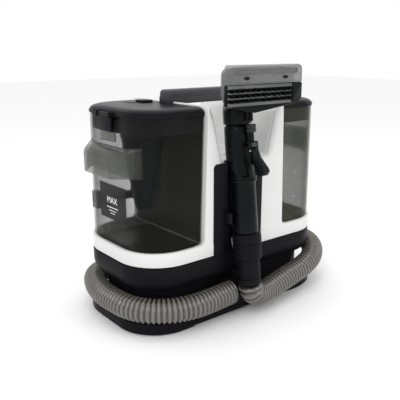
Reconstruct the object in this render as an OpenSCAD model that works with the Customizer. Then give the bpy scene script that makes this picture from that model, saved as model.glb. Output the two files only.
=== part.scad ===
// Portable carpet cleaner. A foot and a chassis carry a middle body with a carry
// handle, a lift-off dirty-water tank on the left, a lift-off clean-water tank on
// the right, and a spray gun with its nozzle on the front. The hose lies round the
// foot. Millimetres; the floor is z = 0 and the middle of the machine is x = y = 0.

/* [Body] */
// Length of the white band, end to end
body_length = 366; // [330:1:440]
// Width of the white band, front to back
body_width = 190; // [180:1:230]
// Corner radius of the white band seen from above
body_corner = 64; // [50:1:70]
// Wall of the moulded shells
shell_wall = 2.5; // [2:0.1:3]
// Half length of the middle body at the band
middle_half_low = 80; // [78:0.5:84]
// Half length of the middle body at the tower tops
middle_half_top = 74; // [73:0.5:77]

/* [Heights] */
// Thickness of the floor pads
pad_height = 4; // [3:0.5:6]
// Height of the foot's rim, where the hose lies
rim_top = 20; // [16:0.5:20]
// Bottom of the chassis bowl
chassis_bottom = 62; // [60:0.5:64]
// Bottom of the white band
band_bottom = 102; // [98:0.5:106]
// Top of the white band
band_top = 123; // [118:0.5:126]
// Top of the valley between the towers
valley_top = 238; // [232:0.5:242]
// Top of the towers
tower_top = 320; // [318:0.5:324]
// Top edge of the tanks
tank_top = 306; // [300:0.5:308]
// Thickness of the lids above the tanks
lid_height = 12; // [10:0.5:14]

/* [Tanks] */
// Step from the band in to the tank wall
tank_step = 7; // [6:0.5:9]
// Wall of the clear tanks
tank_wall = 2.5; // [2:0.1:3]
// Gap between a tank and what it slides past
tank_gap = 0.6; // [0.4:0.1:1]
// Depth of the lid's collar inside the tank
collar_depth = 22; // [16:1:24]
// Width of a latch
latch_width = 36; // [28:1:40]
// Radius of a latch's pin
latch_pin_r = 1.2; // [1:0.1:1.4]
// Width of a tank's pull hood
hood_width = 72; // [60:1:80]

/* [Handle] */
// Width of the carry handle
handle_width = 25; // [22:1:28]
// Half length of the carry handle
handle_half = 82; // [80:0.5:84]
// Underside of the carry handle
handle_bottom_z = 316; // [314:0.5:318]
// Height of the carry handle
handle_height = 21; // [18:0.5:24]

/* [Gun] */
// Radius of the gun's grip tube
grip_r = 17.5; // [16:0.1:18]
// Radius of the upper hose cuff
cuff_r = 21.5; // [20:0.1:22]
// Radius of the gun's barrel
barrel_r = 20; // [19:0.1:21]
// Lean of the gun from upright, in degrees
gun_lean = 6.7; // [5:0.1:8]
// Radius of the trigger's pin
trigger_pin_r = 1.5; // [1.2:0.1:1.8]
// Width of the nozzle's mouth
nozzle_width = 136; // [120:1:140]
// Depth of the bristles
bristle_length = 8; // [5:0.5:10]

/* [Running parts] */
// Radius of the motor
motor_r = 38; // [32:0.5:40]
// Radius of the motor's shaft
shaft_r = 4; // [3:0.1:5]
// Radial clearance of a turning fit
turn_gap = 0.05; // [0.03:0.01:0.08]
// Radius of the clean tank's outlet valve body
valve_r = 8; // [7:0.1:9]
// Radius of the power button
button_r = 12; // [10:0.5:14]
// Outer radius of the hose
hose_r = 18; // [16:0.5:18]

/* [Hidden] */
$fn = 64;

far = 600;        // longer than the whole machine, for cutting tools
through = 1;      // how far a cutter runs past a face
fit = 0.3;        // gap round a piece that drops into a pocket
loose = 0.1;      // gap round a screw

band_half_x = body_length / 2;
band_half_y = body_width / 2;

// Insets of the outline from the band, level by level
foot_flare_x = 6;
foot_flare_y = 2;
pad_inset = 4;
neck_inset = 20;
bowl_inset = 17;

foot_wall = 3;
foot_floor = 4;
foot_rim = 4;
chassis_wall = 3;
chassis_floor = 4;

// Deck: the band with a well under each tank
well_floor = 6;
well_z = band_bottom + well_floor;
well_gap = 0.8;
tank_bottom = well_z + 0.5;
core_half_x = middle_half_low - 5;
core_half_y = band_half_y - 10;

// Middle body
face_y = band_half_y - 4;
valley_half = 38;
valley_low = [46, 243];
valley_mid = [59, 303];
valley_edge = 71;
tower_solid_z = 290;

// Tank
tank_inset = tank_step;
tank_floor = 3;
guide_half = handle_width / 2 + 2;
guide_x = handle_half + 2;

// Lid
lid_rim = 5;
lid_roll = 16;
lid_wall = 2.5;
collar_gap = 0.5;
collar_wall = 2;
lid_top = tank_top + lid_height;

// Latch on the end face
latch_thick = 4;
latch_gap = 2.5;
latch_drop = 20;
latch_x = band_half_x - tank_inset + latch_gap + latch_thick / 2;
latch_pin_z = tank_top + 3.2;
ear_width = 3;
barrel_outer = 2.6;

// Separator that hangs from the dirty lid
cone_x = -(band_half_x - tank_inset) + 56;
cone_top = 280;
cone_bottom = 165;
cone_r_top = 32;
cone_r_bottom = 13;
cone_wall = 2;
stem_r = 10;
float_r = 9;

// Valve under the clean tank
valve_x = band_half_x - 55;
plunger_r = 3;

// Gun's own frame: its axis leans back from the bottom of the lower cuff
gun_x = -17;
gun_y = -(band_half_y + 28);
gun_z = 57;
cuff_lower_length = 39;
cuff_upper_length = 39;
grip_start = cuff_lower_length + cuff_upper_length;
barrel_start = 166;
barrel_end = 236;
barrel_back = 5;
spigot_r = 16;
duct_r = 13;
cradle_r = 24;
trigger_y = -25;
trigger_z = 199;

// Nozzle's mouth, which faces forward
mouth_y = gun_y - 27;
mouth_left = gun_x - nozzle_width / 2 - 1;
mouth_right = mouth_left + nozzle_width;
mouth_low = 323;
mouth_high = 375;
lip_low = 350;
head_depth = 11;
funnel_depth = 12;
cap_width = 21;

// Route of the hose: out of its port, round the foot, and up into the lower cuff
hose_route = [[-34, -100, 39], [-58, -102, 39], [-85, -104, 39], [-112, -103, 39],
    [-142, -94, 39], [-167, -75, 39], [-181, -48, 39], [-185, -15, 39], [-185, 20, 39],
    [-177, 55, 39.5], [-160, 86, 39.5], [-132, 104, 38.5], [-100, 109, 37.5], [-60, 110, 37],
    [-20, 110, 37], [20, 110, 37], [60, 110, 37], [100, 108, 38], [137, 100, 40],
    [167, 82, 44], [189, 54, 49], [201, 20, 54], [204, -15, 58], [197, -50, 58],
    [178, -78, 55], [152, -96, 49], [122, -104, 43], [95, -107, 39], [70, -110, 36],
    [47, -113, 33], [26, -116, 31], [8, -119, 32], [-6, -121, 38], [-14, -123, 46],
    [-17, -123, 56.7]];
hose_sides = 10;
hose_steps = 2;

// Outline seen from above, as true arcs
module outline(half_x, half_y, corner) {
    round_r = min(corner, half_x - 1, half_y - 1);
    union() {
        square([2 * half_x, 2 * (half_y - round_r)], center = true);
        square([2 * (half_x - round_r), 2 * half_y], center = true);
        for (x = [-1, 1], y = [-1, 1])
            translate([x * (half_x - round_r), y * (half_y - round_r)]) circle(round_r);
    }
}

// A slab with the band's outline, drawn in by an inset
module slab(inset_x, inset_y, low, high) {
    translate([0, 0, low])
        linear_extrude(high - low)
            outline(band_half_x - inset_x, band_half_y - inset_y, body_corner - min(inset_x, inset_y));
}

// A profile in the x-z plane, from y_low to y_high
module profile(points, y_low, y_high) {
    translate([0, y_high, 0])
        rotate([90, 0, 0])
            linear_extrude(y_high - y_low) polygon(points);
}

// A box from its lowest to its highest corner
module block(low, high) {
    translate(low) cube(high - low);
}

// Half length of the middle body at a height: its ends lean in
function middle_half(z) = middle_half_low
    - (middle_half_low - middle_half_top) * (z - band_top) / (tower_top - band_top);

// Inner face of a tower at a height
function valley_x(z) = valley_low[0]
    + (valley_mid[0] - valley_low[0]) * (z - valley_low[1]) / (valley_mid[1] - valley_low[1]);

// Everything on the left of the middle body, standing off it by a gap
module left_side(gap, low, high) {
    profile([[-far, low], [-middle_half(low) - gap, low], [-middle_half(high) - gap, high],
        [-far, high]], -far / 2, far / 2);
}

// The slot in a tank and its lid that slides past the handle's end
module handle_guide(extra) {
    block([-guide_x - extra, -guide_half - extra, 0], [0, guide_half + extra, far]);
}

// ---- Foot and chassis ----

module base_foot() {
    color([0.07, 0.07, 0.08])
        difference() {
            union() {
                slab(-foot_flare_x, -foot_flare_y, pad_height, rim_top);
                slab(neck_inset, neck_inset, rim_top, chassis_bottom);
            }
            slab(neck_inset + foot_wall, neck_inset + foot_wall, pad_height + foot_floor,
                chassis_bottom + through);
            difference() {
                slab(-foot_flare_x + foot_wall, -foot_flare_y + foot_wall, pad_height + foot_floor,
                    rim_top - foot_rim);
                slab(neck_inset, neck_inset, 0, far);
            }
            port_bore();
            foot_screw_holes(2 + loose);
        }
}

middle_pad_r = 24;

// Two pads take the foot's outline at the ends, and a round one carries the middle
module foot_pads() {
    color([0.05, 0.05, 0.05])
        difference() {
            union() {
                difference() {
                    slab(pad_inset - foot_flare_x, pad_inset - foot_flare_y, 0, pad_height);
                    block([-98, -far / 2, -through], [98, far / 2, pad_height + through]);
                }
                cylinder(r = middle_pad_r, h = pad_height);
            }
            foot_screw_holes(4);
        }
}

module foot_screw_holes(radius) {
    for (x = [-130, 130], y = [-50, 50])
        translate([x, y, -through]) cylinder(r = radius, h = pad_height + foot_floor + 2 * through);
}

module foot_screws() {
    color([0.7, 0.7, 0.72])
        for (x = [-130, 130], y = [-50, 50])
            translate([x, y, 1]) {
                cylinder(r = 3.6, h = pad_height - 1);
                cylinder(r = 2, h = pad_height + foot_floor + 6);
            }
}

// A bowl whose lower edge rolls in to the neck
module chassis() {
    color([0.08, 0.08, 0.09])
        difference() {
            hull() {
                slab(bowl_inset, bowl_inset, chassis_bottom, chassis_bottom + 0.1, $fn = 32);
                slab(7, 7, chassis_bottom + 6, chassis_bottom + 6.1, $fn = 32);
                slab(2, 2, chassis_bottom + 13, chassis_bottom + 13.1, $fn = 32);
                slab(0, 0, chassis_bottom + 22, band_bottom, $fn = 32);
            }
            hull() {
                slab(bowl_inset + chassis_wall, bowl_inset + chassis_wall,
                    chassis_bottom + chassis_floor, chassis_bottom + chassis_floor + 0.1, $fn = 32);
                slab(chassis_wall, chassis_wall, chassis_bottom + 24, band_bottom + through, $fn = 32);
            }
            translate([duct_place[0], duct_place[1], chassis_bottom - through])
                cylinder(r = 11, h = chassis_floor + 2 * through);
        }
}

port_y = -(band_half_y + 5);
port_z = 39;
port_face = -34;
elbow_x = -21;
elbow_r = 8;
flange = 2;

module port_bore() {
    translate([elbow_x, -band_half_y + neck_inset - 6, port_z])
        rotate([-90, 0, 0]) cylinder(r = elbow_r, h = 12);
}

// An elbow on the neck: it opens to the left, and the hose pushes on
module hose_port() {
    color([0.08, 0.08, 0.09])
        difference() {
            union() {
                block([port_face, port_y - 3, rim_top + 1], [elbow_x + elbow_r + 3,
                    -band_half_y + neck_inset, port_z + hose_r]);
                translate([port_face, port_y, port_z])
                    rotate([0, 90, 0]) cylinder(r = hose_r, h = flange);
            }
            translate([port_face - through, port_y + elbow_r, port_z])
                rotate([0, 90, 0]) cylinder(r = elbow_r, h = elbow_x - port_face + through);
            translate([elbow_x, port_y + elbow_r, port_z])
                rotate([-90, 0, 0]) cylinder(r = elbow_r, h = 40);
        }
}

// ---- Deck ----

module tank_well() {
    intersection() {
        slab(tank_inset - well_gap, tank_inset - well_gap, well_z, band_top + through);
        left_side(-0.2, well_z, band_top + through);
    }
}

module deck() {
    color([0.9, 0.9, 0.9])
        difference() {
            slab(0, 0, band_bottom, band_top);
            tank_well();
            mirror([1, 0, 0]) tank_well();
            block([-core_half_x, -core_half_y, 0], [core_half_x, core_half_y, far]);
            translate([valve_x, 0, 0]) cylinder(r = valve_r + 4, h = far);
            dock_space(0);
        }
}

module valve_seat() {
    color([0.1, 0.1, 0.1])
        translate([valve_x, 0, band_bottom])
            difference() {
                cylinder(r = valve_r + 4, h = well_floor);
                translate([0, 0, -through]) cylinder(r = valve_r + 0.4, h = well_floor + 2 * through);
            }
}

// ---- Middle body ----

dock_left = -64;
dock_right = 30.5;
dock_front = face_y + 6;

module dock_space(gap) {
    block([dock_left - gap, -far / 2, band_bottom - through], [dock_right + gap, -face_y, valley_top + through]);
}

function mirrored(points) = concat(points, [for (i = [len(points) - 1:-1:0]) [-points[i][0], points[i][1]]]);

middle_outer = mirrored([[-valley_half, valley_top], [-valley_low[0], valley_low[1]],
    [-valley_mid[0], valley_mid[1]], [-valley_edge, tower_top], [-middle_half_top, tower_top],
    [-middle_half_low, band_top]]);
middle_inner = mirrored([[-valley_half, valley_top - shell_wall],
    [-valley_low[0] - shell_wall, valley_low[1]],
    [-valley_x(tower_solid_z) - shell_wall, tower_solid_z],
    [-middle_half(tower_solid_z) + shell_wall, tower_solid_z],
    [-middle_half(band_top - through) + shell_wall, band_top - through]]);

leg_in = 62;
leg_out = 71;
leg_bottom = 296;
leg_half_y = 12;
handle_screw_y = 6;

module handle_pockets() {
    for (side = [-1, 1]) {
        mirror([side < 0 ? 1 : 0, 0, 0]) {
            block([leg_in - 0.2, -leg_half_y - 0.2, leg_bottom], [leg_out + 0.2, leg_half_y + 0.2, far]);
            block([leg_in - 6, -handle_width / 2 - 0.2, handle_bottom_z], [handle_half + 4,
                handle_width / 2 + 0.2, far]);
            for (y = [-handle_screw_y, handle_screw_y])
                translate([(leg_in + leg_out) / 2, y, tower_solid_z - through])
                    cylinder(r = 1.5 + loose, h = 10);
        }
    }
}

module gun_axis() {
    translate([gun_x, gun_y, gun_z]) rotate([-gun_lean, 0, 0]) children();
}

// Room for the gun in the panel and in the shell behind it
module cradle(radius) {
    gun_axis() translate([0, 0, -20]) cylinder(r = radius, h = 300);
    gun_axis() translate([0, barrel_back, barrel_start - 16]) cylinder(r = radius, h = 140);
}

module front_shell() {
    color([0.92, 0.92, 0.91])
        difference() {
            profile(middle_outer, -face_y, 0);
            profile(middle_inner, -face_y + shell_wall, through);
            handle_pockets();
            cradle(cradle_r + shell_wall + fit);
        }
}

module rear_shell() {
    color([0.92, 0.92, 0.91])
        difference() {
            profile(middle_outer, 0, face_y);
            profile(middle_inner, -through, face_y - shell_wall);
            handle_pockets();
            translate([0, button_y, valley_top - shell_wall - through])
                cylinder(r = button_r + 1, h = shell_wall + 2 * through);
            for (x = [-60, 60], z = [134, 226])
                translate([x, face_y + through, z]) rotate([90, 0, 0]) cylinder(r = 1.5 + loose, h = 8);
        }
}

// The black panel: a plate with a half-round cradle behind it and a rest for the grip
module dock_panel() {
    color([0.06, 0.06, 0.07])
        difference() {
            union() {
                block([dock_left, -dock_front, band_bottom], [dock_right, -face_y, valley_top]);
                intersection() {
                    cradle(cradle_r + shell_wall);
                    block([dock_left, -dock_front, band_top], [dock_right, -face_y + 31, valley_top]);
                }
                block([gun_x - cradle_r - 3, -dock_front - 12, 150], [gun_x + cradle_r + 3, -face_y, 166]);
            }
            cradle(cradle_r);
        }
}

button_y = 25;

module saddle_cover() {
    color([0.9, 0.9, 0.89])
        difference() {
            block([-valley_half + 2, -face_y + 46, valley_top], [valley_half - 2, face_y - 31, valley_top + 2.5]);
            translate([0, button_y, valley_top - through]) cylinder(r = button_r + fit, h = 5);
        }
}

module power_button() {
    color([0.1, 0.1, 0.1])
        translate([0, button_y, 0]) {
            translate([0, 0, valley_top - 1]) cylinder(r = button_r, h = 6);
            translate([0, 0, valley_top - 14]) cylinder(r = 4, h = 14);
        }
}

hook_x = 68;
hook_z = 160;
hook_post_r = 5;
panel_back = face_y + 3;

module rear_panel() {
    color([0.1, 0.1, 0.11])
        difference() {
            union() {
                block([-middle_half_low + 3, face_y, band_top + 1], [middle_half_low - 3, panel_back, valley_top - 2]);
                for (x = [-hook_x, hook_x])
                    translate([x, panel_back + 14, hook_z])
                        rotate([90, 0, 0]) cylinder(r = hook_post_r, h = 14.5);
            }
            for (i = [0:11])
                block([-38.5 + 7 * i - 1.5, face_y - through, 185], [-38.5 + 7 * i + 1.5, far, 220]);
            for (x = [-60, 60], z = [134, 226])
                translate([x, panel_back + through, z]) rotate([90, 0, 0]) cylinder(r = 1.5 + loose, h = 8);
            translate([gland_x, face_y - through, gland_z]) rotate([-90, 0, 0]) cylinder(r = 7 + loose, h = 8);
        }
}

module rear_screws() {
    color([0.75, 0.75, 0.76])
        for (x = [-60, 60], z = [134, 226])
            translate([x, panel_back, z]) rotate([90, 0, 0]) {
                translate([0, 0, -2]) cylinder(r = 3, h = 2);
                cylinder(r = 1.5, h = 9);
            }
}

gland_x = 0;
gland_z = 145;

module cord_gland() {
    color([0.08, 0.08, 0.08])
        translate([gland_x, 0, gland_z]) rotate([-90, 0, 0])
            difference() {
                union() {
                    translate([0, 0, face_y]) cylinder(r = 7, h = 4);
                    translate([0, 0, panel_back]) cylinder(r = 10, h = 3);
                    translate([0, 0, panel_back]) cylinder(r1 = 7, r2 = 5.5, h = 10);
                }
                cylinder(r = 3.6, h = far);
            }
}

// An arm on a post: it turns down to let the mains cord off
module cord_hook() {
    color([0.06, 0.06, 0.06])
        difference() {
            union() {
                translate([0, panel_back + 13, 0]) rotate([90, 0, 0]) cylinder(r = 12, h = 12.5);
                block([0, panel_back + 2, -6], [70, panel_back + 11, 6]);
                block([70, panel_back + 2, -14], [78, panel_back + 19, 14]);
            }
            rotate([-90, 0, 0]) cylinder(r = hook_post_r + turn_gap, h = far);
        }
}

module cord_hook_right() {
    translate([hook_x, 0, hook_z]) cord_hook();
}

module cord_hook_left() {
    mirror([1, 0, 0]) cord_hook_right();
}

module handle_bottom() {
    color([0.13, 0.13, 0.14])
        difference() {
            union() {
                block([-handle_half, -handle_width / 2, handle_bottom_z], [handle_half,
                    handle_width / 2, handle_bottom_z + handle_height / 2]);
                for (side = [0, 1])
                    mirror([side, 0, 0])
                        block([leg_in, -leg_half_y, leg_bottom], [leg_out, leg_half_y, handle_bottom_z]);
            }
            for (x = [-1, 1], y = [-handle_screw_y, handle_screw_y])
                translate([x * (leg_in + leg_out) / 2, y, leg_bottom - through])
                    cylinder(r = 1.5 + loose, h = 13);
        }
}

module handle_top() {
    color([0.15, 0.15, 0.16])
        difference() {
            hull() {
                block([-handle_half, -handle_width / 2, handle_bottom_z + handle_height / 2],
                    [handle_half, handle_width / 2, handle_bottom_z + handle_height - 4]);
                block([-handle_half + 5, -handle_width / 2 + 4, handle_bottom_z + handle_height - 0.1],
                    [handle_half - 5, handle_width / 2 - 4, handle_bottom_z + handle_height]);
            }
            block([-handle_half + 3, -handle_width / 2 + 3, 0], [handle_half - 3,
                handle_width / 2 - 3, handle_bottom_z + handle_height - 5]);
        }
}

module handle_screws() {
    color([0.75, 0.75, 0.76])
        for (x = [-1, 1], y = [-handle_screw_y, handle_screw_y])
            translate([x * (leg_in + leg_out) / 2, y, 0]) {
                translate([0, 0, tower_solid_z - 2.5]) cylinder(r = 2.8, h = 2.5);
                translate([0, 0, tower_solid_z]) cylinder(r = 1.5, h = 16);
            }
}

// ---- Inside ----

duct_place = [-55, -45];
motor_y = 15;
motor_floor = chassis_bottom + chassis_floor;
housing_gap = 6;
housing_wall = 3;
housing_height = 114;
motor_height = 72;
shaft_top = motor_floor + housing_wall + motor_height + 20;

module motor_housing() {
    color([0.3, 0.3, 0.32])
        translate([0, motor_y, motor_floor])
            difference() {
                cylinder(r = motor_r + housing_gap + housing_wall, h = housing_height);
                translate([0, 0, housing_wall])
                    cylinder(r = motor_r + housing_gap, h = housing_height - 2 * housing_wall);
                cylinder(r = 15, h = far);
                block([motor_r, -14, 14], [far, 14, 34]);
            }
}

module motor() {
    color([0.55, 0.55, 0.57])
        translate([0, motor_y, motor_floor + housing_wall])
            difference() {
                union() {
                    cylinder(r = motor_r, h = motor_height - 10);
                    cylinder(r = motor_r - 14, h = motor_height);
                }
                translate([0, 0, 12]) cylinder(r = shaft_r + turn_gap, h = far);
            }
}

module motor_shaft() {
    color([0.8, 0.8, 0.82])
        translate([0, motor_y, motor_floor + housing_wall + 13])
            cylinder(r = shaft_r, h = shaft_top - motor_floor - housing_wall - 13);
}

module fan() {
    color([0.5, 0.5, 0.5])
        translate([0, motor_y, motor_floor + housing_wall + motor_height + 3])
            difference() {
                union() {
                    cylinder(r = 9, h = 14);
                    cylinder(r = motor_r + 2, h = 2);
                    for (i = [0:7])
                        rotate([0, 0, 45 * i]) block([7, -1, 0], [motor_r + 1, 1, 12]);
                }
                translate([0, 0, -through]) cylinder(r = shaft_r + turn_gap / 5, h = far);
            }
}

module water_pump() {
    color([0.2, 0.2, 0.22])
        translate([60, -18, pad_height + foot_floor])
            union() {
                block([0, 0, 0], [44, 36, 32]);
                translate([44, 18, 16]) rotate([0, 90, 0]) cylinder(r = 13, h = 34);
                translate([12, 36, 16]) rotate([-90, 0, 0]) cylinder(r = 4, h = 10);
                translate([32, 36, 16]) rotate([-90, 0, 0]) cylinder(r = 4, h = 10);
            }
}

module suction_duct() {
    color([0.35, 0.35, 0.37])
        translate([duct_place[0], duct_place[1], motor_floor])
            difference() {
                cylinder(r = 13, h = 160);
                translate([0, 0, -through]) cylinder(r = 11, h = 160 + 2 * through);
            }
}

module circuit_board() {
    color([0.1, 0.4, 0.2])
        union() {
            block([-50, face_y - 12, 150], [50, face_y - 10.4, 205]);
            block([-40, face_y - 10.4, 160], [-20, face_y - 4, 180]);
            block([5, face_y - 10.4, 160], [30, face_y - 5, 185]);
        }
}

// ---- Tanks, drawn on the left ----

module tank_shape(bottom, high, inset, gap) {
    intersection() {
        slab(tank_inset + inset, tank_inset + inset, bottom, high);
        left_side(gap, bottom, high);
    }
}

hood_low = 226;
hood_high = 265;
hood_out = 22;

// The pull hood on the end face: a hollow hood, open below for the fingers
module hood(wall, low) {
    out_x = -(band_half_x - tank_inset) - hood_out + wall;
    hull() {
        block([out_x, -hood_width / 2 + wall, low], [out_x + 2, hood_width / 2 - wall, hood_high - wall]);
        block([out_x + 16, -hood_width / 2 + wall, low], [out_x + hood_out + 22 - wall,
            hood_width / 2 - wall, hood_high + 10 - wall]);
        block([out_x + hood_out + 20, -hood_width / 2 - 34 + wall, low],
            [out_x + hood_out + 22 - wall, hood_width / 2 + 34 - wall, hood_high + 8 - wall]);
    }
}

module tank() {
    difference() {
        union() {
            tank_shape(tank_bottom, tank_top, 0, tank_gap);
            difference() {
                hood(0, hood_low);
                hood(tank_wall, hood_low - through);
                slab(tank_inset + 0.2, tank_inset + 0.2, 0, far);
            }
            block([-(band_half_x - tank_inset) - 2, -latch_width / 2 - 1, 272],
                [-(band_half_x - tank_inset) + 1, latch_width / 2 + 1, 285.5]);
        }
        difference() {
            tank_shape(tank_bottom + tank_floor, tank_top + through, tank_wall, tank_gap + tank_wall);
            handle_guide(tank_wall);
        }
        handle_guide(0);
    }
}

module dirty_tank() {
    color([0.4, 0.4, 0.38, 0.5]) tank();
}

// The cap rolls in from its rim, and a collar reaches down inside the tank
module lid() {
    difference() {
        union() {
            hull() {
                tank_shape(tank_top, tank_top + lid_rim, -1, tank_gap, $fn = 32);
                tank_shape(lid_top - 2, lid_top - 1.9, lid_roll * 0.45, tank_gap, $fn = 32);
                tank_shape(lid_top - 0.1, lid_top, lid_roll, tank_gap, $fn = 32);
            }
            difference() {
                tank_shape(tank_top - collar_depth, tank_top, tank_wall + collar_gap,
                    tank_gap + tank_wall + collar_gap);
                tank_shape(tank_top - collar_depth - through, far / 2, tank_wall + collar_gap + collar_wall,
                    tank_gap + tank_wall + collar_gap + collar_wall);
            }
            for (y = [-1, 1])
                translate([-latch_x, y * (latch_width / 2 - ear_width / 2), latch_pin_z])
                    rotate([90, 0, 0]) cylinder(r = 2.8, h = ear_width - 0.4, center = true);
            for (y = [-1, 1])
                translate([-latch_x, y * (latch_width / 2 - ear_width / 2) - (ear_width - 0.4) / 2, tank_top + 0.4])
                    cube([latch_thick + 2, ear_width - 0.4, 4]);
        }
        hull() {
            tank_shape(tank_top - through, tank_top + lid_rim, tank_wall + collar_gap + collar_wall,
                tank_gap + tank_wall + collar_gap + collar_wall, $fn = 32);
            tank_shape(lid_top - lid_wall - 0.1, lid_top - lid_wall, lid_roll + 2,
                tank_gap + tank_wall + collar_gap + collar_wall, $fn = 32);
        }
        handle_guide(0);
        block([-guide_x - tank_wall - 0.6, -guide_half - tank_wall - 0.6, 0], [0,
            guide_half + tank_wall + 0.6, tank_top]);
        translate([-latch_x, 0, latch_pin_z]) rotate([90, 0, 0])
            cylinder(r = latch_pin_r + loose / 2, h = latch_width + 4, center = true);
    }
    difference() {
        block([-guide_x - lid_wall, -guide_half - lid_wall, tank_top + 0.2],
            [-middle_half(tank_top) - tank_gap - 1, guide_half + lid_wall, lid_top - 1]);
        handle_guide(0);
    }
}

module dirty_lid() {
    color([0.09, 0.09, 0.1]) union() {
        lid();
        translate([cone_x, 0, cone_top - 0.5]) difference() {
            cylinder(r = stem_r + 4, h = lid_top - 2 - cone_top);
            translate([0, 0, -through]) cylinder(r = stem_r + 2, h = 60);
        }
    }
}

module lid_seal() {
    difference() {
        tank_shape(tank_top - 8, tank_top - 5, tank_wall + 0.15, tank_gap + tank_wall + 0.15);
        tank_shape(tank_top - 9, tank_top - 4, tank_wall + collar_gap, tank_gap + tank_wall + collar_gap);
        block([-guide_x - tank_wall - 0.6, -guide_half - tank_wall - 0.6, 0], [0,
            guide_half + tank_wall + 0.6, far]);
    }
}

module dirty_lid_seal() {
    color([0.2, 0.2, 0.2]) lid_seal();
}

// Hollow cone with a grid at its foot and a cap that hangs on the lid's stem
module separator_cone() {
    color([0.05, 0.06, 0.09])
        translate([cone_x, 0, 0])
            difference() {
                union() {
                    translate([0, 0, cone_bottom])
                        cylinder(r1 = cone_r_bottom, r2 = cone_r_top, h = cone_top - cone_bottom - 4);
                    translate([0, 0, cone_top - 4]) cylinder(r = cone_r_top, h = 3.5);
                    translate([0, 0, cone_top - 0.5]) cylinder(r = stem_r + 2 - turn_gap, h = 12);
                }
                translate([0, 0, cone_bottom + 4])
                    cylinder(r1 = cone_r_bottom - cone_wall, r2 = cone_r_top - cone_wall,
                        h = cone_top - cone_bottom - 11);
                translate([0, 0, cone_bottom]) cylinder(r = stem_r - 1, h = far / 2, $fn = 64);
                for (i = [0:3])
                    rotate([0, 0, 90 * i + 45])
                        block([cone_r_bottom, -7, cone_bottom + 50], [cone_r_top + 2, 7, cone_bottom + 92]);
            }
}

module float_ball() {
    color([0.85, 0.35, 0.1])
        translate([cone_x, 0, cone_bottom + 4 + float_r + 5]) sphere(r = float_r + 0.5);
}

module latch_pin() {
    translate([-latch_x, 0, latch_pin_z]) rotate([90, 0, 0])
        cylinder(r = latch_pin_r, h = latch_width - 1, center = true);
}

module dirty_latch_pin() {
    color([0.7, 0.7, 0.7]) latch_pin();
}

module latch() {
    barrel = latch_width - 2 * ear_width - 0.8;
    difference() {
        union() {
            translate([-latch_x, 0, latch_pin_z]) rotate([90, 0, 0])
                cylinder(r = barrel_outer, h = barrel, center = true);
            block([-latch_x - latch_thick / 2, -barrel / 2, latch_pin_z - 4],
                [-latch_x + latch_thick / 2 - 0.6, barrel / 2, latch_pin_z]);
            block([-latch_x - latch_thick / 2, -latch_width / 2, tank_top - latch_drop],
                [-latch_x + latch_thick / 2 - 0.6, latch_width / 2, tank_top - 0.6]);
        }
        translate([-latch_x, 0, latch_pin_z]) rotate([90, 0, 0])
            cylinder(r = latch_pin_r + turn_gap, h = far, center = true);
    }
}

module dirty_latch() {
    color([0.07, 0.07, 0.08]) latch();
}

module clean_tank() {
    color([0.5, 0.5, 0.46, 0.5])
        difference() {
            mirror([1, 0, 0]) tank();
            translate([valve_x, 0, tank_bottom - through]) cylinder(r = valve_r - 2, h = tank_floor + 2);
        }
}

module clean_lid() {
    color([0.09, 0.09, 0.1]) mirror([1, 0, 0]) lid();
}

module clean_lid_seal() {
    color([0.2, 0.2, 0.2]) mirror([1, 0, 0]) lid_seal();
}

module clean_latch_pin() {
    color([0.7, 0.7, 0.7]) mirror([1, 0, 0]) latch_pin();
}

module clean_latch() {
    color([0.07, 0.07, 0.08]) mirror([1, 0, 0]) latch();
}

module clean_valve_body() {
    color([0.15, 0.15, 0.16])
        translate([valve_x, 0, 0])
            difference() {
                translate([0, 0, band_bottom + 1]) cylinder(r = valve_r, h = tank_bottom - band_bottom - 1);
                cylinder(r = plunger_r + turn_gap, h = far);
            }
}

module valve_plunger() {
    color([0.6, 0.6, 0.6])
        translate([valve_x, 0, 0]) {
            translate([0, 0, band_bottom]) cylinder(r = plunger_r, h = tank_bottom + tank_floor - band_bottom + 1);
            translate([0, 0, tank_bottom + tank_floor]) cylinder(r = valve_r + 1, h = 2.5);
        }
}

// ---- Gun ----

// The grip and the barrel as one turned outline, before it is cut into halves
module gun_solid() {
    translate([0, 0, grip_start]) cylinder(r = grip_r, h = barrel_start - grip_start + 1);
    translate([0, 0, barrel_start - 12]) cylinder(r = grip_r + 2, h = 8);
    translate([0, barrel_back - 3, barrel_start - 4]) cylinder(r1 = grip_r, r2 = barrel_r, h = 10);
    translate([0, barrel_back, barrel_start + 6]) cylinder(r = barrel_r, h = barrel_end - barrel_start - 6);
    translate([0, barrel_back, barrel_end]) cylinder(r = spigot_r, h = 12);
    block([-9, -27, barrel_start + 12], [9, barrel_back, barrel_end - 24]);
}

module gun_hollow() {
    translate([0, 0, grip_start - through]) cylinder(r = duct_r, h = barrel_start - grip_start + 2 * through);
    translate([0, barrel_back / 2, barrel_start - 1]) cylinder(r = duct_r - 0.5, h = 12);
    translate([0, barrel_back, barrel_start + 10]) cylinder(r = duct_r, h = 100);
    block([-6, -40, barrel_start], [6, -barrel_r + barrel_back + 2, trigger_z + 8]);
    translate([0, trigger_y, trigger_z]) rotate([0, 90, 0])
        cylinder(r = trigger_pin_r + loose / 2, h = 30, center = true);
    for (z = [barrel_start + 30, grip_start + 16])
        translate([0, z > barrel_start ? barrel_back + 16.4 : 15.2, z]) rotate([0, 90, 0])
            cylinder(r = 0.9, h = 60, center = true);
}

module gun_half(side) {
    gun_axis()
        intersection() {
            difference() {
                gun_solid();
                gun_hollow();
            }
            block([side < 0 ? -60 : 0, -60, 0], [side < 0 ? 0 : 60, 60, far]);
        }
}

module gun_shell_left() {
    color([0.05, 0.06, 0.07]) gun_half(-1);
}

module gun_shell_right() {
    color([0.05, 0.06, 0.07]) gun_half(1);
}

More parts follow.
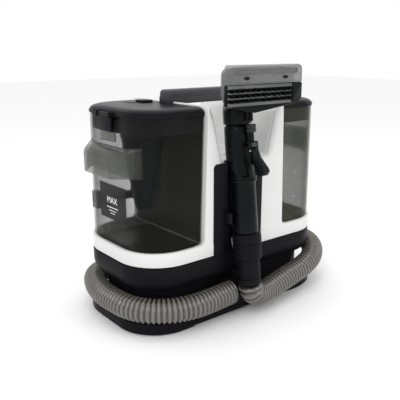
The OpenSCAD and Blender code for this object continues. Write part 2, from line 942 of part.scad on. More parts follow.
module cuff_lower() {
    color([0.06, 0.06, 0.06])
        gun_axis() difference() {
            cylinder(r = grip_r, h = cuff_lower_length);
            translate([0, 0, -through]) cylinder(r = duct_r, h = far);
        }
}

module cuff_upper() {
    color([0.07, 0.07, 0.07])
        gun_axis() translate([0, 0, cuff_lower_length]) difference() {
            cylinder(r = cuff_r, h = cuff_upper_length);
            translate([0, 0, -through]) cylinder(r = duct_r, h = far);
        }
}

fitting_r = 7;
line_y = barrel_back - barrel_r - fitting_r - 0.5;

// Water line in front of the barrel, with its round fitting
module spray_line() {
    color([0.12, 0.12, 0.13])
        gun_axis() {
            translate([0, line_y, barrel_end - 24]) cylinder(r = 3.5, h = 14);
            translate([0, line_y, barrel_end - 12]) cylinder(r = fitting_r, h = 12);
        }
}

module gun_screws() {
    color([0.85, 0.85, 0.85])
        gun_axis()
            for (z = [barrel_start + 30, grip_start + 16])
                translate([0, z > barrel_start ? barrel_back + 16.4 : 15.2, z]) rotate([0, 90, 0])
                    cylinder(r = 0.85, h = z > barrel_start ? 20 : 14, center = true);
}

module trigger_pin() {
    color([0.7, 0.7, 0.7])
        gun_axis() translate([0, trigger_y, trigger_z]) rotate([0, 90, 0])
            cylinder(r = trigger_pin_r, h = 17.6, center = true);
}

// A beak that the finger pulls towards the grip
module trigger() {
    color([0.08, 0.08, 0.09])
        gun_axis() translate([0, trigger_y, trigger_z])
            difference() {
                translate([-5.6, 0, 0]) rotate([90, 0, 90]) linear_extrude(11.2)
                    union() {
                        circle(r = 4.5);
                        polygon([[-4.4, 1], [-8, -8], [-24, -25], [-25, -29], [-20, -33], [-10, -24],
                            [3, -14], [4.4, -1]]);
                    }
                rotate([0, 90, 0]) cylinder(r = trigger_pin_r + turn_gap, h = 40, center = true);
            }
}

// ---- Nozzle ----

sleeve_gap = 0.3;
sleeve_wall = 3;
blend_step = 0.6;    // how far the funnel stands off the round sleeve it grows from

module head_back(wall, depth) {
    block([mouth_left + 6 + wall, mouth_y + head_depth, mouth_low + 6 + wall],
        [mouth_right - 6 - wall, mouth_y + head_depth + depth, mouth_high - 4 - wall]);
}

// Clear funnel: a sleeve on the barrel's spigot that widens to the head
module nozzle_funnel() {
    color([0.6, 0.62, 0.62, 0.5])
        difference() {
            union() {
                gun_axis() translate([0, barrel_back, barrel_end + 0.5])
                    cylinder(r = spigot_r + sleeve_gap + sleeve_wall, h = 22);
                hull() {
                    gun_axis() translate([0, barrel_back, barrel_end + 18])
                        cylinder(r = spigot_r + sleeve_gap + sleeve_wall + blend_step, h = 1, $fn = 32);
                    head_back(0, funnel_depth);
                }
            }
            hull() {
                gun_axis() translate([0, barrel_back, barrel_end + 19])
                    cylinder(r = spigot_r + sleeve_gap - blend_step, h = 1, $fn = 32);
                head_back(2.5, funnel_depth - 0.5);
            }
            gun_axis() translate([0, barrel_back, barrel_end - 1])
                cylinder(r = spigot_r + sleeve_gap, h = 22);
            block([mouth_left + 10, mouth_y - through, 353], [mouth_right - 10, mouth_y + head_depth + 2, 366]);
        }
}

module nozzle_pipe() {
    color([0.2, 0.2, 0.21])
        gun_axis() translate([0, line_y, barrel_end + 4]) cylinder(r = 3.5, h = 16);
}

// Upper half of the mouth: a flat slot that draws the water up
module suction_lip() {
    color([0.65, 0.67, 0.67, 0.7])
        difference() {
            block([mouth_left, mouth_y, lip_low], [mouth_right, mouth_y + head_depth, mouth_high]);
            block([mouth_left + 8, mouth_y - through, 357], [mouth_right - 8, mouth_y + head_depth + through, 364]);
        }
}

module brush_plate() {
    color([0.4, 0.42, 0.42])
        union() {
            block([mouth_left, mouth_y + 4, mouth_low], [mouth_right - cap_width, mouth_y + head_depth, lip_low]);
            for (i = [0:3])
                translate([0, 0, i * 7.9])
                    block([mouth_left, mouth_y, mouth_low], [mouth_right - cap_width, mouth_y + 4, mouth_low + 3.2]);
        }
}

module bristles() {
    color([0.03, 0.03, 0.03])
        for (row = [0:2], i = [0:11])
            translate([mouth_left + 5.5 + i * 9.4, mouth_y + 4, mouth_low + 5.55 + row * 7.9])
                rotate([90, 0, 0]) cylinder(r = 2, h = bristle_length);
}

module nozzle_cap() {
    color([0.04, 0.04, 0.05])
        block([mouth_right - cap_width, mouth_y, mouth_low], [mouth_right, mouth_y + head_depth, lip_low]);
}

// ---- Hose ----

// A smooth curve through the route's points
function between(a, b, c, d, t) = 0.5 * (2 * b + (c - a) * t + (2 * a - 5 * b + 4 * c - d) * t * t
    + (3 * b - a - 3 * c + d) * t * t * t);
function at(points, i) = points[max(0, min(len(points) - 1, i))];
function smooth(points, steps) = [for (i = [0:len(points) - 2], s = [0:steps - 1])
    between(at(points, i - 1), at(points, i), at(points, i + 1), at(points, i + 2), s / steps),
    points[len(points) - 1]];
function unit(v) = v / norm(v);
function ring(centre, along, radius, sides) = let (side = unit(cross(along, [0.3, 0.5, 0.81])),
    up = cross(side, along)) [for (k = [0:sides - 1])
        centre + radius * (cos(360 * k / sides) * side + sin(360 * k / sides) * up)];

module tube(line, radius, sides) {
    last = len(line) - 1;
    along = [for (i = [0:last]) i == 0 ? [-1, 0, 0] : i == last ? [0, sin(gun_lean), cos(gun_lean)]
        : unit(line[i + 1] - line[i - 1])];
    rings = [for (i = [0:last]) ring(line[i], along[i], radius, sides)];
    points = [for (r = rings) each r];
    walls = [for (i = [0:last - 1], k = [0:sides - 1]) [i * sides + k, (i + 1) * sides + k,
        (i + 1) * sides + (k + 1) % sides, i * sides + (k + 1) % sides]];
    ends = [[for (k = [0:sides - 1]) k], [for (k = [sides - 1:-1:0]) last * sides + k]];
    polyhedron(points, concat(walls, ends));
}

module hose() {
    color([0.55, 0.53, 0.5]) tube(smooth(hose_route, hose_steps), hose_r, hose_sides);
}

base_foot();
foot_pads();
foot_screws();
chassis();
hose_port();
deck();
front_shell();
rear_shell();
dock_panel();
rear_panel();
rear_screws();
handle_top();
handle_bottom();
handle_screws();
saddle_cover();
cord_gland();
motor_housing();
motor();
water_pump();
suction_duct();
circuit_board();
valve_seat();
hose();
fan();
motor_shaft();
dirty_tank();
dirty_lid();
dirty_lid_seal();
separator_cone();
dirty_latch_pin();
dirty_latch();
float_ball();
clean_tank();
clean_valve_body();
clean_lid();
clean_lid_seal();
clean_latch_pin();
clean_latch();
valve_plunger();
gun_shell_left();
gun_shell_right();
cuff_lower();
cuff_upper();
spray_line();
gun_screws();
trigger_pin();
trigger();
nozzle_funnel();
nozzle_pipe();
suction_lip();
brush_plate();
bristles();
nozzle_cap();
power_button();
cord_hook_left();
cord_hook_right();
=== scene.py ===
import math

import bmesh
import bpy
from mathutils import Matrix, Vector


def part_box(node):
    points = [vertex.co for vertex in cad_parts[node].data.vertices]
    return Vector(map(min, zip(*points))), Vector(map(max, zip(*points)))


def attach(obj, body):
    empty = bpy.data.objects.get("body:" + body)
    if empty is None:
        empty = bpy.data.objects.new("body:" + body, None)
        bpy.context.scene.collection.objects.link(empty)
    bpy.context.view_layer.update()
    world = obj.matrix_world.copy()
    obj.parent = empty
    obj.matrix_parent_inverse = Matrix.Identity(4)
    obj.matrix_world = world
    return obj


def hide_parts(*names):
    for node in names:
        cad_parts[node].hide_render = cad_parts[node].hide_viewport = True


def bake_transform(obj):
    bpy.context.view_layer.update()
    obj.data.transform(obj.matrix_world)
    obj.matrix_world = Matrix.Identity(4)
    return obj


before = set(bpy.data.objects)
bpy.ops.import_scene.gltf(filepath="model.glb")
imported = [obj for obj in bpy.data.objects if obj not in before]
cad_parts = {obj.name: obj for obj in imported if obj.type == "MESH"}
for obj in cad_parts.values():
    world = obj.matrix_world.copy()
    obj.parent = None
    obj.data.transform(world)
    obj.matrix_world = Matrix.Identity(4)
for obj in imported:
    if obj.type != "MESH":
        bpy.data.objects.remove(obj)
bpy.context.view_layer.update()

# ---- Camera ----
# It stands in front and to the left of the machine, some 0.9 m away and 0.4 m above the floor,
# and looks down by 15 degrees through a normal lens. Its place and turn are fixed numbers.
eye_azimuth, eye_elevation = -38.82, 15.15
camera_data = bpy.data.cameras.new("camera")
camera_data.lens, camera_data.sensor_width = 50.66, 36
camera = bpy.data.objects.new("camera", camera_data)
camera.location = (-0.56307, -0.68369, 0.39630)
camera.rotation_euler = (math.radians(90 - eye_elevation), 0, math.radians(eye_azimuth))
bpy.context.collection.objects.link(camera)
bpy.context.scene.camera = camera

# ---- Hose ----
# A grey, half-clear suction hose of soft plastic, moulded in rings. It pushes on to its
# port, lies round the foot on the rim, and comes up into the gun's lower cuff.
MM = 0.001
hose_radius, hose_pitch, hose_length = 0.018, 0.0066, 1.03
points_a_rib = 8
hose_route = [
    (-34, -100, 39), (-58, -102, 39), (-85, -104, 39), (-112, -103, 39), (-142, -94, 39),
    (-167, -75, 39), (-181, -48, 39), (-185, -15, 39), (-185, 20, 39), (-177, 55, 39.5),
    (-160, 86, 39.5), (-132, 104, 38.5), (-100, 109, 37.5), (-60, 110, 37), (-20, 110, 37),
    (20, 110, 37), (60, 110, 37), (100, 108, 38), (137, 100, 40), (167, 82, 44),
    (189, 54, 49), (201, 20, 54), (204, -15, 58), (197, -50, 58), (178, -78, 55),
    (152, -96, 49), (122, -104, 43), (95, -107, 39), (70, -110, 36), (47, -113, 33),
    (26, -116, 31), (8, -119, 32), (-6, -121, 38), (-14, -123, 46), (-17, -123, 56.7),
]


def link(name, mesh):
    piece = bpy.data.objects.new(name, mesh)
    bpy.context.collection.objects.link(piece)
    return piece


def smooth_line(points, steps):
    """Points along a smooth curve through the given ones."""
    line = []
    last = len(points) - 1
    for i in range(last):
        a, b, c, d = (Vector(points[max(0, min(last, k))]) for k in (i - 1, i, i + 1, i + 2))
        for s in range(steps):
            t = s / steps
            line.append(0.5 * (2 * b + (c - a) * t + (2 * a - 5 * b + 4 * c - d) * t**2
                               + (3 * b - a - 3 * c + d) * t**3))
    line.append(Vector(points[last]))
    return line


def node_tree(name, inputs):
    """An empty geometry tree with its named number inputs, and its output node."""
    tree = bpy.data.node_groups.new(name, "GeometryNodeTree")
    tree.interface.new_socket("Geometry", in_out="INPUT", socket_type="NodeSocketGeometry")
    for label, value in inputs.items():
        kind = "NodeSocketInt" if isinstance(value, int) else "NodeSocketFloat"
        tree.interface.new_socket(label, in_out="INPUT", socket_type=kind).default_value = value
    tree.interface.new_socket("Geometry", in_out="OUTPUT", socket_type="NodeSocketGeometry")
    return tree, tree.nodes.new("NodeGroupInput"), tree.nodes.new("NodeGroupOutput")


def finish_tree(tree, shape, material, output):
    """Realize Instances and Set Material close every tree."""
    real = tree.nodes.new("GeometryNodeRealizeInstances")
    paint = tree.nodes.new("GeometryNodeSetMaterial")
    paint.inputs["Material"].default_value = material
    tree.links.new(shape, real.inputs["Geometry"])
    tree.links.new(real.outputs[0], paint.inputs["Geometry"])
    tree.links.new(paint.outputs[0], output.inputs["Geometry"])


def grow(piece, tree, values):
    """Runs a geometry tree on a piece and keeps the result as its plain mesh."""
    grown = piece.modifiers.new("grow", "NODES")
    grown.node_group = tree
    for socket in tree.interface.items_tree:
        if socket.in_out == "INPUT" and socket.name in values:
            grown[socket.identifier] = values[socket.name]
    bpy.context.view_layer.update()
    solid = bpy.data.meshes.new_from_object(piece.evaluated_get(bpy.context.evaluated_depsgraph_get()))
    name = piece.name
    bpy.data.objects.remove(piece)
    return link(name, solid)


def wire(nodes, kind, **values):
    made = nodes.new(kind)
    for key, value in values.items():
        setattr(made, key, value)
    return made


def wire_up(links, *runs):
    """Links each (node, output, node, input) run, in order."""
    for source, socket_out, target, socket_in in runs:
        links.new(source.outputs[socket_out], target.inputs[socket_in])


def hose_material():
    """Grey soft plastic with painted shade: dark down in the grooves, light and glossy on the ribs."""
    paint = bpy.data.materials.new("hose_grey_soft_plastic")
    paint.use_nodes = True
    nodes, links = paint.node_tree.nodes, paint.node_tree.links
    shader = nodes["Principled BSDF"]
    rib = wire(nodes, "ShaderNodeAttribute", attribute_name="rib")
    # Painted shade: the rib height runs this from near black in the grooves to grey on the crests.
    groove_shade_ramp = nodes.new("ShaderNodeValToRGB")
    groove_shade_ramp.color_ramp.elements[0].position, groove_shade_ramp.color_ramp.elements[0].color = 0.0, (0.008, 0.007, 0.006, 1)
    groove_shade_ramp.color_ramp.elements[1].position, groove_shade_ramp.color_ramp.elements[1].color = 1.0, (0.155, 0.146, 0.128, 1)
    middle = groove_shade_ramp.color_ramp.elements.new(0.55)
    middle.color = (0.066, 0.061, 0.053, 1)
    place = nodes.new("ShaderNodeTexCoord")
    cloud = nodes.new("ShaderNodeTexNoise")
    cloud.inputs["Scale"].default_value = 42
    blend = wire(nodes, "ShaderNodeMix", data_type="RGBA", blend_type="MULTIPLY")
    tone = nodes.new("ShaderNodeValToRGB")
    tone.color_ramp.elements[0].color = (0.72, 0.72, 0.72, 1)
    tone.color_ramp.elements[1].color = (1.0, 1.0, 1.0, 1)
    wire_up(links, (place, "Object", cloud, "Vector"), (cloud, "Fac", tone, "Fac"), (rib, "Fac", groove_shade_ramp, "Fac"))
    blend.inputs["Factor"].default_value = 1.0
    wire_up(links, (groove_shade_ramp, "Color", blend, 6), (tone, "Color", blend, 7), (blend, 2, shader, "Base Color"))
    shader.inputs["Roughness"].default_value = 0.24
    shader.inputs["Specular IOR Level"].default_value = 0.6
    shader.inputs["Coat Weight"].default_value = 0.35
    shader.inputs["Coat Roughness"].default_value = 0.18
    return paint


# The route is a poly curve; the tree spaces it, swells each rib, and sweeps a circle.
tree, given, out = node_tree("ribbed_hose", {"Step": 0.001, "Radius": 0.018, "Groove": 0.002, "Ribs": 8})
nodes, links = tree.nodes, tree.links
spaced = wire(nodes, "GeometryNodeResampleCurve", mode="LENGTH")
index = nodes.new("GeometryNodeInputIndex")
phase = wire(nodes, "ShaderNodeMath", operation="DIVIDE")
turn = wire(nodes, "ShaderNodeMath", operation="MULTIPLY")
turn.inputs[1].default_value = 2 * math.pi
wave = wire(nodes, "ShaderNodeMath", operation="COSINE")
height = wire(nodes, "ShaderNodeMath", operation="MULTIPLY_ADD")
height.inputs[1].default_value, height.inputs[2].default_value = 0.5, 0.5
crest = wire(nodes, "ShaderNodeMath", operation="POWER")
crest.inputs[1].default_value = 0.5
depth = wire(nodes, "ShaderNodeMath", operation="SUBTRACT")
depth.inputs[0].default_value = 1.0
cut = wire(nodes, "ShaderNodeMath", operation="MULTIPLY")
size = wire(nodes, "ShaderNodeMath", operation="SUBTRACT")
width = nodes.new("GeometryNodeSetCurveRadius")
# The crest height kept here as "rib" is what the hose material turns into painted shade in the grooves.
keep = wire(nodes, "GeometryNodeStoreNamedAttribute", data_type="FLOAT", domain="POINT")
keep.inputs["Name"].default_value = "rib"
circle = nodes.new("GeometryNodeCurvePrimitiveCircle")
circle.inputs["Resolution"].default_value = 26
circle.inputs["Radius"].default_value = 1.0
sweep = nodes.new("GeometryNodeCurveToMesh")
sweep.inputs["Fill Caps"].default_value = True
wire_up(links, (given, "Geometry", spaced, "Curve"), (given, "Step", spaced, "Length"), (index, 0, phase, 0),
               (given, "Ribs", phase, 1), (phase, 0, turn, 0), (turn, 0, wave, 0), (wave, 0, height, 0),
               (height, 0, crest, 0), (crest, 0, depth, 1), (depth, 0, cut, 0), (given, "Groove", cut, 1),
               (given, "Radius", size, 0), (cut, 0, size, 1), (spaced, 0, width, "Curve"), (size, 0, width, "Radius"),
               (width, 0, keep, "Geometry"), (crest, 0, keep, "Value"), (keep, 0, sweep, "Curve"),
               (circle, "Curve", sweep, "Profile Curve"))
if "Scale" in sweep.inputs:
    links.new(size.outputs[0], sweep.inputs["Scale"])
finish_tree(tree, sweep.outputs["Mesh"], hose_material(), out)

hose_line = [p * MM for p in smooth_line(hose_route, 8)]
hose_curve = bpy.data.curves.new("hose", "CURVE")
hose_curve.dimensions = "3D"
run = hose_curve.splines.new("POLY")
run.points.add(len(hose_line) - 1)
for spot, place in zip(run.points, hose_line):
    spot.co = (*place, 1)
hose = grow(link("hose", hose_curve), tree, {
    "Step": hose_pitch / points_a_rib, "Radius": hose_radius, "Groove": 0.0023, "Ribs": points_a_rib})
hose.data.shade_smooth()
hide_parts("hose")
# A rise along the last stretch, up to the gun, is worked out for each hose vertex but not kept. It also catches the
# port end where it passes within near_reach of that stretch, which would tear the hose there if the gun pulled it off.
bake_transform(hose)
bend_start, bend_end, near_reach = 0.17, 0.012, 0.022
from_gun = [0.0]
for a, b in zip(reversed(hose_line), list(reversed(hose_line))[1:]):
    from_gun.append(from_gun[-1] + (a - b).length)
near_gun = [(p, d) for p, d in zip(reversed(hose_line), from_gun) if d < bend_start + 0.03]
for vertex in hose.data.vertices:
    gap, along = min(((vertex.co - p).length, d) for p, d in near_gun)
    t = max(0.0, min(1.0, (bend_start - along) / (bend_start - bend_end))) if gap < near_reach else 0.0

# ---- Light and floor ----
# A white paper floor under a white sky, with one soft box at the left, a narrow one in front
# and a wide one above, as in a product studio.


def studio_material(name, colour, roughness):
    paint = bpy.data.materials.new(name)
    paint.use_nodes = True
    paint.node_tree.nodes["Principled BSDF"].inputs["Base Color"].default_value = (*colour, 1)
    paint.node_tree.nodes["Principled BSDF"].inputs["Roughness"].default_value = roughness
    return paint


floor_mesh = bpy.data.meshes.new("studio_floor")
floor_mesh.from_pydata([(-6, -6, 0), (6, -6, 0), (6, 6, 0), (-6, 6, 0)], [], [(0, 1, 2, 3)])
floor = link("studio_floor", floor_mesh)
floor_mesh.materials.append(studio_material("white_paper", (0.93, 0.93, 0.93), 0.9))
world = bpy.data.worlds.new("studio")
world.use_nodes = True
world.node_tree.nodes["Background"].inputs["Color"].default_value = (1, 1, 1, 1)
world.node_tree.nodes["Background"].inputs["Strength"].default_value = 1.0
bpy.context.scene.world = world
bpy.context.scene.view_settings.view_transform = "Standard"


def soft_box(name, place, aim, size, power):
    light = bpy.data.lights.new(name, "AREA")
    light.shape, light.size, light.size_y, light.energy = "RECTANGLE", size[0], size[1], power
    lamp = bpy.data.objects.new(name, light)
    lamp.location = place
    lamp.rotation_euler = (Vector(aim) - Vector(place)).to_track_quat("-Z", "Y").to_euler()
    bpy.context.collection.objects.link(lamp)


soft_box("key_left", (-1.3, -0.9, 1.3), (0, 0, 0.2), (0.5, 1.1), 9)
soft_box("fill_front", (0.5, -1.6, 0.9), (0, 0, 0.2), (0.25, 1.1), 5)
soft_box("top", (0, 0.2, 1.6), (0, 0, 0.2), (1.2, 0.8), 4)

# ---- Foot ----
# A black moulded plastic tray: a wide rim that the hose lies on, and a neck up to the chassis.
# Screws from below go up through the pads and the tray's floor.


def mm_box(node):
    low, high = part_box(node)
    return low / MM, high / MM


def filleted(corners, steps=6):
    """A closed 2-D loop through (u, v, radius) corners, each rounded by an arc."""
    loop = []
    for i, (u, v, radius) in enumerate(corners):
        here = Vector((u, v))
        before, after = Vector(corners[i - 1][:2]) - here, Vector(corners[(i + 1) % len(corners)][:2]) - here
        reach_a, reach_b = before.length, after.length
        before.normalize(), after.normalize()
        half = math.acos(max(-1, min(1, before.dot(after)))) / 2
        if radius <= 0 or half > math.pi / 2 - 0.01:
            loop += [here.copy() for _ in range(steps + 1)] if radius else [here]
            continue
        pull = min(radius / math.tan(half), 0.49 * min(reach_a, reach_b))
        radius = pull * math.tan(half)
        centre = here + (before + after).normalized() * radius / math.sin(half)
        start, stop = here + before * pull - centre, here + after * pull - centre
        sweep_angle = start.angle_signed(stop) if start.length and stop.length else 0
        first = math.atan2(start.y, start.x)
        for k in range(steps + 1):
            angle = first - sweep_angle * k / steps
            loop.append(centre + radius * Vector((math.cos(angle), math.sin(angle))))
    return loop


def oblong(half_u, half_v, radius, steps=14):
    return filleted([(half_u, -half_v, radius), (half_u, half_v, radius),
                     (-half_u, half_v, radius), (-half_u, -half_v, radius)], steps)


def drawn_in(loop, inset):
    """The loop moved inwards by an inset, point by point along its own normals."""
    area = sum(a.x * b.y - b.x * a.y for a, b in zip(loop, loop[1:] + loop[:1]))
    sign = 1 if area > 0 else -1
    moved = []
    for i, p in enumerate(loop):
        k = 1
        while (p - loop[i - k]).length < 1e-6 and k < len(loop) - 1:
            k += 1
        m = 1
        while (loop[(i + m) % len(loop)] - p).length < 1e-6 and m < len(loop) - 1:
            m += 1
        a, b = (p - loop[i - k]).normalized(), (loop[(i + m) % len(loop)] - p).normalized()
        along = a + b
        if along.length < 1e-6:
            along = b
        along.normalize()
        normal = Vector((-along.y, along.x)) * sign
        stretch = max(0.5, normal.dot(Vector((-b.y, b.x)) * sign))
        moved.append(p + normal * inset / stretch)
    return moved


def round_over(low, high, radius_low, radius_high, steps=5):
    """Levels (place, inset) up a solid with rounded lower and upper edges."""
    levels = []
    for k in range(steps + 1):
        a = math.pi / 2 * k / steps
        levels.append((low + radius_low * (1 - math.sin(a)), radius_low * (1 - math.cos(a))))
    levels.reverse()
    for k in range(steps + 1):
        a = math.pi / 2 * k / steps
        levels.append((high - radius_high * (1 - math.sin(a)), radius_high * (1 - math.cos(a))))
    return levels


def skin(name, rings, material, sharp=35, caps=(True, True), closed=False):
    """A solid through rings of points in millimetres, capped at its ends."""
    mesh = bpy.data.meshes.new(name)
    shape = bmesh.new()
    grid = [[shape.verts.new(Vector(p) * MM) for p in ring] for ring in rings]
    count = len(grid[0])
    pairs = list(zip(grid, grid[1:])) + ([(grid[-1], grid[0])] if closed else [])
    for low, high in pairs:
        for k in range(count):
            shape.faces.new((low[k], low[(k + 1) % count], high[(k + 1) % count], high[k]))
    if not closed:
        for flag, ring in zip(caps, (list(reversed(grid[0])), grid[-1])):
            if flag:
                shape.faces.new(ring)
    bmesh.ops.remove_doubles(shape, verts=shape.verts, dist=1e-6)
    bmesh.ops.dissolve_degenerate(shape, dist=1e-6, edges=shape.edges)
    bmesh.ops.recalc_face_normals(shape, faces=shape.faces)
    bmesh.ops.triangulate(shape, faces=[f for f in shape.faces if len(f.verts) > 4])
    shape.to_mesh(mesh)
    shape.free()
    mesh.materials.append(material)
    mesh.shade_smooth()
    mesh.set_sharp_from_angle(angle=math.radians(sharp))
    return link(name, mesh)


def upright(loop, z):
    return [Vector((p.x, p.y, z)) for p in loop]


def facing(loop, y):
    return [Vector((p.x, y, p.y)) for p in loop]


def stack(name, loop, levels, material, place=upright, **extra):
    """A loop drawn along the third axis, with its inset at each level."""
    return skin(name, [place(drawn_in(loop, inset), at) for at, inset in levels], material, **extra)


def moulded(name, colour, roughness, grain=0.15, grain_size=900, coat=0.0, mottle=0.12, edge_highlight=0.0, mirror=0.06):
    """Moulded plastic: a fine grain, faint clouds in its tone and gloss, and a painted highlight that pales its sharp
    edges.
    """
    paint = bpy.data.materials.new(name)
    paint.use_nodes = True
    nodes, links = paint.node_tree.nodes, paint.node_tree.links
    shader = nodes["Principled BSDF"]
    place = nodes.new("ShaderNodeTexCoord")
    cloud = nodes.new("ShaderNodeTexNoise")
    cloud.inputs["Scale"].default_value = 14
    cloud.inputs["Detail"].default_value = 5
    tone = nodes.new("ShaderNodeValToRGB")
    tone.color_ramp.elements[0].color = (*(c * (1 - mottle) for c in colour), 1)
    tone.color_ramp.elements[1].color = (*(min(1, c * (1 + mottle)) for c in colour), 1)
    tone.color_ramp.elements[0].position, tone.color_ramp.elements[1].position = 0.3, 0.7
    gloss = nodes.new("ShaderNodeMapRange")
    gloss.inputs["To Min"].default_value, gloss.inputs["To Max"].default_value = roughness * 0.85, roughness * 1.2
    fine = nodes.new("ShaderNodeTexNoise")
    fine.inputs["Scale"].default_value = grain_size
    bump = nodes.new("ShaderNodeBump")
    bump.inputs["Strength"].default_value, bump.inputs["Distance"].default_value = grain, 0.0003
    wire_up(links, (place, "Object", cloud, "Vector"), (place, "Object", fine, "Vector"), (cloud, "Fac", tone, "Fac"),
                   (cloud, "Fac", gloss, "Value"), (gloss, "Result", shader, "Roughness"),
                   (fine, "Fac", bump, "Height"), (bump, "Normal", shader, "Normal"))
    # Painted highlight: sharp convex edges, found by pointiness, are mixed towards a paler tone.
    if edge_highlight:
        edge = nodes.new("ShaderNodeNewGeometry")
        edge_highlight_mask = nodes.new("ShaderNodeMapRange")
        edge_highlight_mask.inputs["From Min"].default_value, edge_highlight_mask.inputs["From Max"].default_value = 0.52, 0.62
        edge_highlight_mask.inputs["To Max"].default_value = edge_highlight
        highlight_tone = wire(nodes, "ShaderNodeMix", data_type="RGBA")
        highlight_tone.inputs[7].default_value = (*(min(1, c * 1.6 + 0.05) for c in colour), 1)
        wire_up(links, (edge, "Pointiness", edge_highlight_mask, "Value"), (edge_highlight_mask, "Result", highlight_tone, "Factor"), (tone, "Color", highlight_tone, 6),
                       (highlight_tone, 2, shader, "Base Color"))
    else:
        links.new(tone.outputs["Color"], shader.inputs["Base Color"])
    shader.inputs["Coat Weight"].default_value = coat
    shader.inputs["Coat Roughness"].default_value = 0.08
    shader.inputs["Specular IOR Level"].default_value = mirror
    return paint


black_satin = moulded("black_satin_plastic", (0.0045, 0.0045, 0.006), 0.38, grain=0.2, edge_highlight=0.12)
foot_low, foot_high = mm_box("base_foot")
foot_half_x, foot_half_y = foot_high.x, foot_high.y
band_low, band_high = mm_box("deck")
band_x, band_y, band_corner = band_high.x, band_high.y, 64
rim_top, neck_in = 20, 20
foot_corner = band_corner + 2
foot_loop = oblong(foot_half_x, foot_half_y, foot_corner)
neck_loop = oblong(band_x - neck_in, band_y - neck_in, band_corner - neck_in)
foot_rings = [upright(drawn_in(foot_loop, inset), z) for z, inset in round_over(foot_low.z, rim_top, 1.2, 3.5)]
foot_rings += [upright(drawn_in(neck_loop, -3), rim_top), upright(drawn_in(neck_loop, -0.8), rim_top + 0.8),
               upright(neck_loop, rim_top + 3), upright(neck_loop, foot_high.z)]
foot = skin("foot", foot_rings, black_satin)
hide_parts("base_foot")
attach(foot, "machine")

# ---- Chassis ----
# The black bowl over the foot, of satin moulded plastic. Its lower edge is rolled in to the
# neck, and a step at the top takes the white band.
chassis_low, chassis_high = mm_box("chassis")
chassis_levels = [(chassis_low.z, 17)]
roll_x, roll_z = 17, 21
for k in range(1, 9):
    a = math.pi / 2 * k / 8
    chassis_levels.append((chassis_low.z + 1 + roll_z * (1 - math.cos(a)), roll_x * (1 - math.sin(a))))
chassis_levels += [(chassis_high.z - 1.6, 0), (chassis_high.z - 0.8, 0.5), (chassis_high.z - 0.7, 1.6),
                   (chassis_high.z, 1.6)]
chassis = skin("chassis", [upright(oblong(band_x - i, band_y - i, band_corner - i), z) for z, i in chassis_levels],
               black_satin)
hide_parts("chassis")
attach(chassis, "machine")

# ---- Middle body and white band ----
# Gloss white mouldings: the band that the tanks stand in, and the body with its two towers
# and the valley under the handle. Round corners frame the tanks' front and back.
white_gloss = moulded("white_gloss_plastic", (0.65, 0.65, 0.645), 0.24, grain=0.04, coat=0.25, mottle=0.015,
                      mirror=0.4)
middle_low, middle_high = mm_box("front_shell")
half_low, half_top = middle_high.x, 74
tower_top, face_y = middle_high.z, -middle_low.y
well_in, well_z = 6.2, band_low.z + 6


def middle_half(z):
    return half_low - (half_low - half_top) * (z - band_high.z) / (tower_top - band_high.z)


def plain_oblong(inset):
    return oblong(band_x - inset, band_y - inset, band_corner - inset)


band_rings = [(band_low.z + 0.9, 12), (band_low.z + 0.9, 1.4), (band_low.z + 0.9, 0.3), (band_low.z + 1.4, 0),
              (band_high.z - 1.8, 0), (band_high.z - 0.6, 0.5), (band_high.z, 1.8), (band_high.z, 4.8),
              (band_high.z - 0.6, 6.0), (band_high.z - 1.5, well_in), (well_z, well_in), (well_z, 12)]
band = skin("white_band", [upright(plain_oblong(i), z) for z, i in band_rings], white_gloss, closed=True)
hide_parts("deck")
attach(band, "machine")
well_floor = stack("well_floor", oblong(band_x - 10, band_y - 10, band_corner - 10),
                   [(band_low.z + 1.5, 0), (well_z - 0.2, 0)], black_satin)
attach(well_floor, "machine")


def middle_profile(frame_radius, ease=0):
    """The body seen from the front; the frame radius rounds it into the band, and ease draws
    back its valley edge where the towers roll over towards the valley."""
    right = [(30, band_high.z - 2, 0.1), (half_low + max(frame_radius, 0.5), band_high.z - 2, 0.05),
             (half_low + max(frame_radius, 0.5), band_high.z, 0.05),
             (half_low, band_high.z + 0.3, max(frame_radius, 0.4)),
             (half_top + 0.4, tower_top - 12, 2), (half_top - 1.5, tower_top - 0.3 * ease, 9 - 0.4 * ease),
             (70 + 0.1 * ease, tower_top - 0.4 * ease, 14 - ease), (60 + ease, 303 - 0.3 * ease, 34),
             (46.5 + ease, 246, 20), (44 + ease, 238 - 0.3 * ease, 8), (20, 238 - 0.3 * ease, 2)]
    left = [(-x, z, r) for x, z, r in reversed(right)]
    return filleted(right + left, 6)


bare = middle_profile(0)
edge_roll, front_y, web = 10, face_y + 3.4, face_y - 2.6
rolled = []
for k in range(7):
    turn = math.pi / 2 * k / 6
    rolled.append((edge_roll * (1 - math.cos(turn)), middle_profile(14, edge_roll * (1 - math.sin(turn)))))
body_levels = [(-front_y + depth, loop, 1.2 if k == 0 else 0.3 if k == 1 else 0)
               for k, (depth, loop) in enumerate(rolled) if depth < front_y - web]
body_levels += [(-web, middle_profile(14, 3), 0), (-web, middle_profile(0, 3), 0), (-front_y + edge_roll, bare, 0),
                (front_y - edge_roll, bare, 0), (web, middle_profile(0, 3), 0), (web, middle_profile(14, 3), 0)]
body_levels += [(front_y - depth, loop, 1.2 if k == 0 else 0.3 if k == 1 else 0)
                for k, (depth, loop) in reversed(list(enumerate(rolled))) if depth < front_y - web]
middle = skin("middle_body", [facing(drawn_in(loop, inset), y) for y, loop, inset in body_levels], white_gloss,
              sharp=40)
side_brown = moulded("side_brown_grey_plastic", (0.030, 0.028, 0.026), 0.5, grain=0.1)
liner_y, liner_top = 83, tower_top - 8
